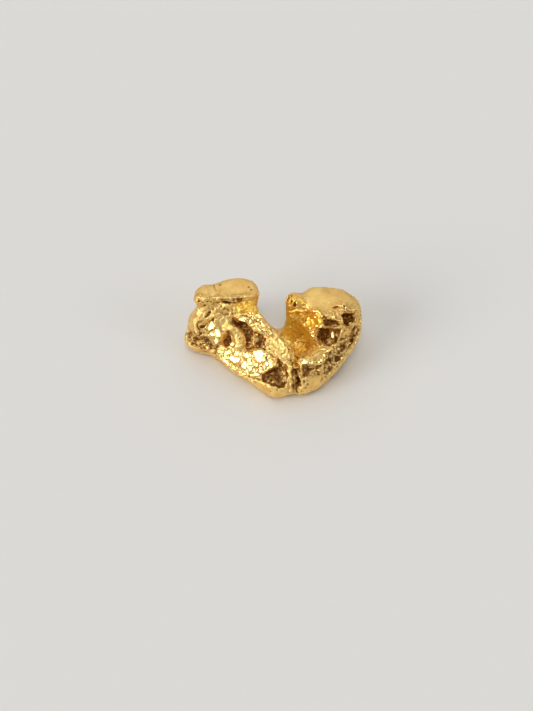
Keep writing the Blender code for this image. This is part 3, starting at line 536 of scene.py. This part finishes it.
def around(places, across, up, radius):
    """The places near a spot, and how far each is from it."""
    spot = np.array([(across, up)])
    chosen = near(places, spot, radius)
    return chosen, np.linalg.norm(places[chosen] - spot, axis=1)


def layered(point, layers):
    """Noise of several sizes, each with its height, added up."""
    return sum(height * noise.noise(point / size) for size, height in layers)


CLEARANCE = 0.06  # how far off the surface a line of sight starts
WIDENING = 2  # rounds that soften the edge of what is seen
FULLY_SEEN = 0.35  # how squarely a surface must face the eye to count in full


class Skin:
    """The nugget's mesh in millimetres, as arrays."""

    def __init__(self, obj):
        self.obj = obj
        self.read()

    def read(self):
        """Takes the places, normals and edges from the mesh."""
        mesh = self.obj.data
        flat = np.empty(len(mesh.vertices) * 3, np.float32)
        mesh.vertices.foreach_get("co", flat)
        self.points = flat.reshape(-1, 3).astype(float)
        mesh.vertex_normals.foreach_get("vector", flat)
        self.normals = flat.reshape(-1, 3).astype(float)
        edges = np.empty(len(mesh.edges) * 2, np.int32)
        mesh.edges.foreach_get("vertices", edges)
        self.edges = edges.reshape(-1, 2)

    def write(self):
        """Puts the places back on the mesh, none below the floor."""
        self.points[:, 2] = np.maximum(self.points[:, 2], 0.0)
        self.obj.data.vertices.foreach_set("co", self.points.astype(np.float32).ravel())
        self.obj.data.update()
        self.read()

    def push(self, height):
        """Moves each vertex along its normal."""
        self.points += self.normals * height[:, None]
        self.write()

    def keep(self, name, values):
        """Stores a value for each vertex, for the material to read."""
        attribute = self.obj.data.attributes.new(name, "FLOAT", "POINT")
        attribute.data.foreach_set("value", np.asarray(values, np.float32))

    def neighbour_mean(self, values):
        """The mean of each vertex's neighbours."""
        ends = self.edges.ravel()
        others = self.edges[:, ::-1].ravel()
        count = np.maximum(np.bincount(ends, minlength=len(values)), 1)
        columns = [np.bincount(ends, column[others], minlength=len(values)) for column in values.T]
        return np.stack(columns, axis=1) / count[:, None]

    def softened(self, values, rounds):
        """The values, each made the mean of its neighbours several times over."""
        for _ in range(rounds):
            values = self.neighbour_mean(values)
        return values

    def on_plane(self):
        """Each vertex's place on the front plane, seen from the eye."""
        rays = self.points - EYE
        reach = EYE_DISTANCE / -(rays @ EYE_SIDE)
        hits = EYE + rays * reach[:, None] - MIDDLE
        return np.stack((hits @ RIGHT, hits @ PLANE_UP), axis=1)

    def seen(self):
        """From 0 to 1, how well the eye sees each vertex."""
        tree = BVHTree.FromPolygons(self.points.tolist(), [tuple(p.vertices) for p in self.obj.data.polygons])
        to_eye = EYE - self.points
        to_eye /= np.linalg.norm(to_eye, axis=1)[:, None]
        facing = np.einsum("ij,ij->i", self.normals, to_eye)
        starts = self.points + self.normals * CLEARANCE
        clear = np.array([face > 0 and tree.ray_cast(Vector(start), Vector(ray))[0] is None
                          for start, ray, face in zip(starts, to_eye, facing)], float)
        widened = self.softened(clear[:, None], WIDENING)[:, 0]
        return np.maximum(widened, clear) * smooth_step(facing / FULLY_SEEN)

    def inwardness(self, rounds):
        """How far each vertex lies below the mean of the surface round it."""
        return np.einsum("ij,ij->i", self.softened(self.points, rounds) - self.points, self.normals)


def settle(obj):
    """Makes the evaluated object its own mesh."""
    mesh = bpy.data.meshes.new_from_object(obj.evaluated_get(bpy.context.evaluated_depsgraph_get()))
    obj.modifiers.clear()
    obj.data = mesh


COARSE = (1.4, 3)  # mesh for the drawn relief: spacing as a multiple of the grid, rounds of softening
FINE = (1.0, 1)  # and the mesh for the skin


def refine(obj, grid, fineness):
    """Rebuilds the mesh on an even grid and rounds it a little."""
    spacing, rounds = fineness
    remesh = obj.modifiers.new("even grid", "REMESH")
    remesh.mode = "VOXEL"
    remesh.voxel_size = grid * spacing
    soften = obj.modifiers.new("soften", "SMOOTH")
    soften.factor = 0.5
    soften.iterations = rounds
    settle(obj)


def clear_crumbs(obj):
    """Keeps the one closed surface, without the crumbs and doubled faces that the modifiers leave."""
    bm = bmesh.new()
    bm.from_mesh(obj.data)
    doubled = [face for face in bm.faces for other in face.edges[0].link_faces
               if other != face and set(other.verts) == set(face.verts)]
    bmesh.ops.delete(bm, geom=doubled, context="FACES")
    waiting = set(bm.faces)
    shells = []
    while waiting:
        shell = [waiting.pop()]
        for face in shell:
            touching = {other for edge in face.edges for other in edge.link_faces} & waiting
            waiting -= touching
            shell.extend(touching)
        shells.append(shell)
    crumbs = [face for shell in sorted(shells, key=len)[:-1] for face in shell]
    bmesh.ops.delete(bm, geom=crumbs, context="FACES")
    bm.to_mesh(obj.data)
    bm.free()


def thin(obj, triangles):
    """Collapses the mesh to the triangles that it may have, clears it, and lifts it off the floor."""
    obj.data.calc_loop_triangles()
    present = len(obj.data.loop_triangles)
    if present > triangles:
        decimate = obj.modifiers.new("thin", "DECIMATE")
        decimate.ratio = triangles / present
        decimate.use_collapse_triangulate = True
        settle(obj)
    clear_crumbs(obj)
    Skin(obj).write()


TOUCHING = 0.0001  # vertices nearer than this are made one


def copy_of_node():
    """A merged copy of the measured solid, in millimetres."""
    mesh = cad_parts[NODE].data.copy()
    mesh.name = SKIN
    mesh.materials.clear()
    bm = bmesh.new()
    bm.from_mesh(mesh)
    bmesh.ops.remove_doubles(bm, verts=bm.verts[:], dist=TOUCHING * MM)
    bmesh.ops.scale(bm, vec=(1 / MM, 1 / MM, 1 / MM), verts=bm.verts[:])
    bm.to_mesh(mesh)
    bm.free()
    obj = bpy.data.objects.new(SKIN, mesh)
    bpy.context.scene.collection.objects.link(obj)
    return obj


WOBBLE = (0.24, 0.05)  # size and reach of what keeps the drawn lines from running true
WOBBLE_LAYERS = (3.1, 8.7)  # the levels of the noise that move them across and up


def wobbled(places):
    """The places moved about a little, so that drawn lines turn out natural."""
    size, reach = WOBBLE
    moved = places.copy()
    for index, (across, up) in enumerate(places):
        for axis, layer in enumerate(WOBBLE_LAYERS):
            moved[index, axis] += reach * noise.noise((across / size, up / size, layer))
    return moved


PIT_DEPTH = 1.3  # of a small pit, as a multiple of its radius
BEAD_HEIGHT = 0.6  # of the bead that gives a glint, likewise


def relief(places):
    """The drawn height at each place: ribs and beads stand out; grooves, hollows and pits go in."""
    height = np.zeros(len(places))
    for width, lift, path in RIBS + [(width, -depth, path) for width, depth, path in GROOVES]:
        chosen, distance = beside(places, path, width)
        height[chosen] += lift * bump(distance, width)
    for depth, wall, outline in HOLLOWS:
        chosen, inside = within(places, outline, wall)
        height[chosen] -= depth * smooth_step(inside / wall + 0.5)
    dots = [(*pit, -PIT_DEPTH) for pit in PITS] + [(*bead, BEAD_HEIGHT) for bead in GLINTS]
    for across, up, radius, lift in dots:
        chosen, distance = around(places, across, up, radius)
        height[chosen] += radius * lift * bump(distance, radius)
    return height


def zone(places, outlines, feather=ZONE_FEATHER):
    """From 0 to 1, how far each place is in one of the outlines."""
    depth = np.max([outline_depth(places, outline) for outline in outlines], axis=0)
    return smooth_step(depth / feather + 0.5)


PATCHES = ((1.6, 1.0),)  # the noise that spreads foil, worn gold and stain over the hidden sides
HIDDEN_FOIL = (3, 0.4)  # how sharply a patch of it ends, and how much of it there is
HIDDEN_WORN = (-3, -0.2)  # its sharpness is below 0, so it lies where the foil doesn't
HIDDEN_STAIN = (4, -1)
STAIN_AND_GLOW_STRENGTH = (0.75, 0.25)  # of the painted glow in front, and of the random iron tint on the hidden sides


def zones(skin, places, seen):
    """How much of each kind of skin every vertex has: in front as drawn, elsewhere by noise."""
    patch = np.array([layered(point, PATCHES) for point in skin.points])
    hidden_foil, hidden_worn, hidden_stain = (
        (1 - seen) * smooth_step(patch * sharpness + amount)
        for sharpness, amount in (HIDDEN_FOIL, HIDDEN_WORN, HIDDEN_STAIN)
    )
    shown, hidden = STAIN_AND_GLOW_STRENGTH
    return {
        "foil": seen * zone(places, FOIL) + hidden_foil,
        "worn": seen * zone(places, WORN) + hidden_worn,
        "granular": seen * zone(places, GRANULAR),
        "gritty": seen * zone(places, GRITTY),
        "stained_and_glowing": shown * seen * zone(places, PAINTED_GLOW, GLOW_FEATHER) + hidden * hidden_stain,
    }


OUTLINE_SOFTNESS = 0.06


def trim(skin):
    """Draws in softly what would show beyond the outline."""
    places = skin.on_plane()
    depth = outline_depth(places, OUTLINE)
    spots, gap = nearest_on(places, closed(OUTLINE))
    kept = 0.5 * (depth + np.sqrt(depth ** 2 + OUTLINE_SOFTNESS ** 2))
    inward = (places - spots) * (np.sign(depth) / np.maximum(gap, 1e-6))[:, None]
    step = inward * (kept - depth)[:, None]
    skin.points += step[:, :1] * RIGHT + step[:, 1:] * PLANE_UP
    skin.write()


FOLDS = ((0.5, 0.16), (0.22, 0.24))  # sizes of the folds, and their slope
TURN = Matrix.Rotation(0.7, 3, Vector((0.3, 1.0, 0.5)).normalized())  # so that no fold runs level
SWELLS = ((0.8, 0.035), (0.4, 0.025))  # sizes and heights of the soft lumps
LINES = (0.55, 0.16, 0.007)  # worn gold's faint flow lines: size of their bends, spacing, height
LINE_DRIFT = (0.4, 0.7)  # how fast they change upwards and along a bend
PLAIN_FOLDS = 0.25  # folds outside the foil, as a share of the foil's
WORN_OFF = {"folds": 0.92, "lumps": 0.7}  # the share of each that wear takes away


def folded(point, size):
    """Folds of crumpled foil: flat slopes that meet in sharp creases."""
    return noise.voronoi(TURN @ point / size, distance_metric="MANHATTAN")[0][0] * size


def flow_line(point):
    """Faint lines that wander over the worn gold."""
    size, spacing, height = LINES
    upwards, along = LINE_DRIFT
    bend = noise.noise(point / size) * size
    return height * (1 - abs(noise.noise(Vector((bend, point.z * upwards, bend * along)) / spacing)) * 2)


def crumple(skin, kinds, slope):
    """Folds the foil, lumps the rest softly, and draws flow lines on what is worn."""
    foil, worn = kinds["foil"], kinds["worn"]
    points = [Vector(place) for place in skin.points]
    folds = np.array([sum(steep * folded(point, size) for size, steep in FOLDS) for point in points])
    lumps = np.array([layered(point, SWELLS) for point in points])
    lines = np.array([flow_line(point) for point in points])
    folds *= (PLAIN_FOLDS + (1 - PLAIN_FOLDS) * foil) * (1 - WORN_OFF["folds"] * worn)
    height = slope * folds + lumps * (1 - WORN_OFF["lumps"] * worn) + lines * worn
    skin.push(height - height.mean())


LEAST_FACING = 0.3  # keeps a patch that faces well away from its softbox from being torn out


def face_light(skin, chosen, weight, reach):
    """Turns a patch towards the softbox that it is nearest to reflecting."""
    patch = skin.points[chosen]
    normal = (skin.normals[chosen] * weight[:, None]).sum(axis=0)
    normal /= np.linalg.norm(normal)
    centre = (patch * weight[:, None]).sum(axis=0) / weight.sum()
    lights = [Vector(SOFTBOXES[name][0]).normalized() for name in POLISH_FACES]
    targets = [(Vector(EYE_SIDE) + light).normalized() for light in lights]
    facing = np.array(max(targets, key=lambda target: target.dot(Vector(normal))))
    step = ((centre - patch) @ facing) / max(normal @ facing, LEAST_FACING)
    skin.points[chosen] = patch + (np.clip(step, -reach, reach) * weight)[:, None] * normal


FLAKE_EDGE = 0.06  # width over which a flake runs into the skin round it
FLAKE_REACH = 0.12  # how far a flake moves the surface
GLINT_REACH = 0.07
SMALLEST_PATCH = 1  # vertices


def polish(skin, places, seen):
    """Lays the flakes, glints and bright edges so that they catch the light; gives where they lie."""
    patches = []
    for outline in FLAKES:
        chosen, inside = within(places, outline, FLAKE_EDGE)
        patches.append((chosen, inside / FLAKE_EDGE + 0.5, FLAKE_REACH))
    edges = [(*place, radius) for radius, path in GLEAMS for place in curved(path)]
    for across, up, radius in GLINTS + edges:
        chosen, distance = around(places, across, up, radius)
        patches.append((chosen, 2 * (1 - distance / radius), GLINT_REACH))
    polished = np.zeros(len(places))
    for chosen, depth, reach in patches:
        weight = smooth_step(depth) * seen[chosen]
        if weight.sum() > SMALLEST_PATCH:
            face_light(skin, chosen, weight, reach)
            polished[chosen] = np.maximum(polished[chosen], weight)
    skin.write()
    return polished


GRAIN = ((0.15, 1.0), (0.085, 0.6))  # sizes of the fine grain, and their shares
# Granules, and the clods of gritty skin: size, height; where the gap between two starts, as a share of
# the size, how wide it is and how much of it silt and painted shade fill.
GRANULE = (0.17, 0.05, 0.45, 0.25, 0.7)
CLOD = (0.42, 0.14, 0.42, 0.2, 0.9)
LEVEL = 0.5  # how far from its middle, as a share of its size, a lump neither rises nor sinks
POCKS = (0.26, 0.08, 0.05)  # tiny pits at random: how far apart, radius, depth
POCK_CHANCE = (7.3, 0.62)  # spread of the random numbers; a pit forms where one of them is above this
GRAIN_LOST = {"worn": 0.85, "foil": 0.7}  # share of the fine grain that smooth skin is without


def pock(point):
    """How far the nearest tiny pit is, if one formed there."""
    spread, least = POCK_CHANCE
    distances, centres = noise.voronoi(point / POCKS[0])
    return distances[0] * POCKS[0] if noise.cell(centres[0] * spread) > least else np.inf


def lumpy(points, kind):
    """The rise that granules or clods give each point, and the silt and painted shade between them."""
    # the last value is the share of each gap that silt and painted shade fill
    size, height, edge, width, silt = kind
    distance = np.array([noise.voronoi(point / size)[0][0] for point in points])
    return (LEVEL - distance) * height, smooth_step((distance - edge) / width) * silt


def roughen(skin, kinds, polished, height):
    """Adds fine grain, tiny pits, granules and clods; gives the pits and the silt and painted shade between
    lumps.
    """
    smooth = np.maximum(GRAIN_LOST["worn"] * kinds["worn"],
                        GRAIN_LOST["foil"] * np.maximum(kinds["foil"], polished))
    points = [Vector(place) for place in skin.points]
    grain = np.array([layered(point, GRAIN) for point in points])
    radius, depth = POCKS[1:]
    pocks = bump(np.minimum([pock(point) for point in points], radius), radius) * (1 - smooth)
    granules, granule_silt_and_shade = lumpy(points, GRANULE)
    clods, clod_silt_and_shade = lumpy(points, CLOD)
    rise = grain * height * (1 - smooth) - pocks * depth
    rise += granules * np.maximum(kinds["granular"], kinds["gritty"]) + clods * kinds["gritty"]
    skin.push(rise)
    return pocks, np.maximum(granule_silt_and_shade, clod_silt_and_shade)


# Silt and painted shade: a brown that darkens what is drawn deep, the hollows and the gaps between lumps,
# where shade falls.
DRAWN_SILT_AND_SHADE = (0.14, 1.5)  # the drawn depth that silt and painted shade fill, and how much less of them a shallower one holds
SILT_AND_SHADE_PATCHES = ((0.3, 1.0), (0.11, 1.3))  # sizes of the thick and thin places of the silt and painted shade, and their shares
SILT_AND_SHADE_THICKNESS = (0.8, 0.9, 0.15)  # mean thickness of the silt and painted shade, how much it varies, and the least
WIDE_HOLLOWS = (40, 2.5, 0.08)  # rounds of softening that find them, silt and painted shade for their depth, what wear takes
FINE_HOLLOWS = (4, 60, 0.42)  # rounds, silt and painted shade for their depth, the most that they hold
# share of silt and painted shade in the tiny pits
POCK_SILT_AND_SHADE = 0.7
GRANULAR_UNSHADED = 0.9  # share of the hollows' silt and painted shade that the painted-bright granular gold is without


def silt_and_shade_cover(skin, places, seen, kinds, between):
    """From 0 to 1, how much silt and painted shade each vertex holds: in what is drawn deep, in hollows and
    between lumps, where shade falls.
    """
    full, falling = DRAWN_SILT_AND_SHADE
    mean, varies, least = SILT_AND_SHADE_THICKNESS
    thickness = np.array([layered(point, SILT_AND_SHADE_PATCHES) for point in skin.points])
    rounds, amount, rubbed = WIDE_HOLLOWS
    cover = np.clip(-relief(places) / full, 0, 1) ** falling * seen
    cover += skin.inwardness(rounds) * amount - rubbed
    cover *= np.clip(mean + varies * thickness, least, 1)
    for width, path in SILT_AND_SHADE_LIFTED:
        chosen, distance = beside(places, path, width)
        cover[chosen] *= 1 - bump(distance, width)
    rounds, amount, most = FINE_HOLLOWS
    fine = np.clip(skin.inwardness(rounds) * amount, 0, most)
    return np.clip((np.clip(cover, 0, 1) + fine) * (1 - GRANULAR_UNSHADED * kinds["granular"]) + between, 0, 1)


# How much each kind of skin adds to the gloss, on top of the plain skin's.
PLAIN_GLOSS = 0.3
GLOSS = {"foil": 0.6, "polished": 0.7, "gritty": 0.15, "worn": -0.3}


def carve(skin, strength):
    """Carves the drawn relief where the eye sees the surface."""
    skin.push(relief(wobbled(skin.on_plane())) * skin.seen() * strength)


def dress(skin, sizes):
    """Gives each zone its own kind of skin, and keeps what the material reads."""
    places = wobbled(skin.on_plane())
    seen = skin.seen()
    kinds = zones(skin, places, seen)
    crumple(skin, kinds, sizes.crumple)
    trim(skin)
    kinds["polished"] = polish(skin, places, seen)
    pocks, gaps = roughen(skin, kinds, kinds["polished"], sizes.grain / MM)
    # Silt and painted shade in the tiny pits and in the gritty gaps between lumps.
    between = np.maximum(POCK_SILT_AND_SHADE * pocks, gaps * kinds["gritty"] * (1 - kinds["polished"]))
    gloss = PLAIN_GLOSS + sum(share * kinds[kind] for kind, share in GLOSS.items())
    skin.keep("gloss", np.clip(gloss, 0, 1))
    skin.keep("silt_and_shade", silt_and_shade_cover(skin, places, seen, kinds, between))
    skin.keep("stain_and_glow", kinds["stained_and_glowing"])
    skin.keep("granular_glow", kinds["granular"])


def feed(tree, node, inputs):
    """Gives each named input its value, or a link from the socket that it reads."""
    for key, value in inputs.items():
        if isinstance(value, bpy.types.NodeSocket):
            tree.links.new(value, node.inputs[key])
        else:
            node.inputs[key].default_value = value


def add_node(tree, kind, output, inputs=None, **settings):
    """Adds a node with its settings and its inputs' values and links; gives one of its outputs."""
    node = tree.nodes.new(kind)
    for key, value in settings.items():
        setattr(node, key, value)
    feed(tree, node, inputs or {})
    return node.outputs[output]


def new_material(name):
    """A material with a bare Principled shader; gives the material, its tree and the shader."""
    material = bpy.data.materials.new(name)
    material.use_nodes = True
    tree = material.node_tree
    return material, tree, tree.nodes["Principled BSDF"]


CLOUDS = (0.7, 4.0)  # size and detail of the gold's lighter and deeper clouds
CLOUD_RANGE = (0.38, 0.68)  # the noise at which the gold is all bright and all deep
SPECKS = (0.09, 2.0)  # size and detail of the polish's fine unevenness
SPECK_ROUGHNESS = 0.12
SPECK_STRENGTH = 0.3
SPECK_DEPTH = 0.012
SILT_AND_SHADE_ROUGHNESS = 0.15
SILT_AND_SHADE_DULLING = 0.1  # how much less metallic the silt and painted shade are: little, because the silt's film on the gold is thin
FLOOR_ROUGHNESS = 0.45


def native_gold(look):
    """Native gold, naturally formed and tumbled by water. It is warm yellow, mirror-bright where thin
    foil folded, satin where stones wore it, and browner in the pits, where silt coloured by iron stays and
    shade is painted in. The orange of its hollows and the brighter yellow of its granular walls are painted
    light bounced between gold walls."""
    material, tree, shader = new_material("Native gold, water-worn")
    where = add_node(tree, "ShaderNodeTexCoord", "Object")
    gloss, silt_and_shade, stain_and_glow, granular_glow = (
        add_node(tree, "ShaderNodeAttribute", "Fac", attribute_name=name)
        for name in ("gloss", "silt_and_shade", "stain_and_glow", "granular_glow")
    )
    clouds, specks = (
        add_node(tree, "ShaderNodeTexNoise", "Fac",
                 {"Vector": where, "Scale": 1 / (size * MM), "Detail": detail})
        for size, detail in (CLOUDS, SPECKS)
    )
    low, high = CLOUD_RANGE
    cloudy = add_node(tree, "ShaderNodeMapRange", "Result",
                      {"Value": clouds, "From Min": low, "From Max": high})
    colour = look.bright
    # Over the clean gold in turn: random deeper clouds, the granular walls' painted bounce light, the
    # hollows' painted glow with the hidden sides' iron tint, and silt with painted shade.
    for share, other in ((cloudy, look.deep), (granular_glow, look.granular_glow), (stain_and_glow, look.stain_and_glow), (silt_and_shade, look.silt_and_shade)):
        colour = add_node(tree, "ShaderNodeMix", 2, {"Factor": share, 6: colour, 7: other}, data_type="RGBA")
    finish = add_node(tree, "ShaderNodeMapRange", "Result",
                      {"Value": gloss, "To Min": look.worn_roughness, "To Max": look.foil_roughness})
    uneven = add_node(tree, "ShaderNodeMath", "Value", {0: specks, 1: SPECK_ROUGHNESS, 2: finish},
                      operation="MULTIPLY_ADD")
    feed(tree, shader, {
        "Base Color": colour,
        "Roughness": add_node(tree, "ShaderNodeMath", "Value", {0: silt_and_shade, 1: SILT_AND_SHADE_ROUGHNESS, 2: uneven},
                              operation="MULTIPLY_ADD"),
        "Metallic": add_node(tree, "ShaderNodeMath", "Value", {0: silt_and_shade, 1: -SILT_AND_SHADE_DULLING, 2: 1.0},
                             operation="MULTIPLY_ADD"),
        "Normal": add_node(tree, "ShaderNodeBump", "Normal",
                           {"Height": specks, "Strength": SPECK_STRENGTH, "Distance": SPECK_DEPTH * MM}),
    })
    return material


def studio_floor(stage):
    """Polystyrene sheet, moulded: a plain pale matt surface that gives a soft sheen near the nugget."""
    material, tree, shader = new_material("Polystyrene sheet, moulded")
    feed(tree, shader, {"Base Color": stage.floor, "Roughness": FLOOR_ROUGHNESS})
    return material


class NUGGET_OT_skin(bpy.types.Operator):
    """Carve and finish the nugget's skin"""

    bl_idname = "nugget.skin"
    bl_label = "Nugget skin"

    def execute(self, context):
        sizes = context.scene.nugget_skin
        obj = copy_of_node()
        refine(obj, sizes.grid / MM, COARSE)
        carve(Skin(obj), sizes.relief)
        refine(obj, sizes.grid / MM, FINE)
        dress(Skin(obj), sizes)
        thin(obj, sizes.triangles)
        obj.data.transform(Matrix.Scale(MM, 4))
        obj.data.name = SKIN
        obj.data.materials.append(native_gold(context.scene.nugget_gold))
        obj.data.shade_smooth()
        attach(obj, BODY)
        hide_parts(NODE)
        return {"FINISHED"}


def studio_world(brightness):
    """White card walls low down, a dim room above them, and softboxes; it is dark round the lens."""
    world = bpy.data.worlds.new("studio")
    world.use_nodes = True
    tree = world.node_tree
    where = add_node(tree, "ShaderNodeTexCoord", "Generated")
    height = add_node(tree, "ShaderNodeSeparateXYZ", "Z", {"Vector": where})
    low, high = WALL_TOP
    total = add_node(tree, "ShaderNodeMapRange", "Result",
                     {"Value": height, "From Min": low, "From Max": high,
                      "To Min": WALL_LIGHT, "To Max": ROOM_LIGHT},
                     interpolation_type="SMOOTHSTEP")
    for direction, radius, edge, light in SOFTBOXES.values():
        toward = add_node(tree, "ShaderNodeVectorMath", "Value",
                          {0: where, 1: tuple(Vector(direction).normalized())}, operation="DOT_PRODUCT")
        patch = add_node(tree, "ShaderNodeMapRange", "Result",
                         {"Value": toward, "From Min": math.cos(math.radians(radius + edge)),
                          "From Max": math.cos(math.radians(radius)), "To Max": light},
                         interpolation_type="SMOOTHSTEP")
        total = add_node(tree, "ShaderNodeMath", "Value", {0: total, 1: patch}, operation="ADD")
    scaled = add_node(tree, "ShaderNodeMath", "Value", {0: total, 1: brightness}, operation="MULTIPLY")
    feed(tree, tree.nodes["Background"], {"Strength": scaled, "Color": hex_colour("#FFFFFF")})
    return world


def add_camera():
    """The camera, at the eye."""
    lens = bpy.data.cameras.new("camera")
    lens.sensor_width = SENSOR
    lens.lens = SENSOR * EYE_DISTANCE / VIEW_LENGTH
    lens.clip_start = MM
    camera = bpy.data.objects.new("camera", lens)
    camera.location = Vector(EYE) * MM
    camera.rotation_euler = Vector(EYE_SIDE).to_track_quat("Z", "Y").to_euler()
    bpy.context.scene.collection.objects.link(camera)
    bpy.context.scene.camera = camera


class NUGGET_OT_stage(bpy.types.Operator):
    """Set the floor, the light and the camera"""

    bl_idname = "nugget.stage"
    bl_label = "Nugget stage"

    def execute(self, context):
        stage = context.scene.nugget_stage
        mesh = bpy.data.meshes.new("floor")
        bm = bmesh.new()
        bmesh.ops.create_grid(bm, x_segments=1, y_segments=1, size=stage.width / 2)
        bm.to_mesh(mesh)
        bm.free()
        floor = bpy.data.objects.new("floor", mesh)
        context.scene.collection.objects.link(floor)
        mesh.materials.append(studio_floor(stage))
        context.scene.world = studio_world(stage.light)
        add_camera()
        context.scene.view_settings.view_transform = "Standard"
        return {"FINISHED"}


class NUGGET_PT_panel(bpy.types.Panel):
    """Lists the nugget's settings and builders"""

    bl_idname = "NUGGET_PT_panel"
    bl_label = "Gold nugget"
    bl_space_type = "VIEW_3D"
    bl_region_type = "UI"
    bl_category = "Nugget"

    def draw(self, context):
        scene = context.scene
        for settings, operator in ((scene.nugget_skin, "nugget.skin"), (scene.nugget_gold, None),
                                   (scene.nugget_stage, "nugget.stage")):
            box = self.layout.box()
            for name in type(settings).__annotations__:
                box.prop(settings, name)
            if operator:
                box.operator(operator)


SETTINGS = {"nugget_skin": SkinSettings, "nugget_gold": GoldSettings, "nugget_stage": StageSettings}
CLASSES = (*SETTINGS.values(), NUGGET_OT_skin, NUGGET_OT_stage, NUGGET_PT_panel)


def register():
    """Registers the classes and hangs the settings on the scene."""
    for cls in CLASSES:
        bpy.utils.register_class(cls)
    for name, group in SETTINGS.items():
        setattr(bpy.types.Scene, name, PointerProperty(type=group))


def unregister():
    """Takes the settings and the classes away."""
    for name in SETTINGS:
        delattr(bpy.types.Scene, name)
    for cls in reversed(CLASSES):
        bpy.utils.unregister_class(cls)


def main():
    """Builds the skin and the stage."""
    register()
    bpy.ops.nugget.skin()
    bpy.ops.nugget.stage()


if __name__ == "__main__":
    main()
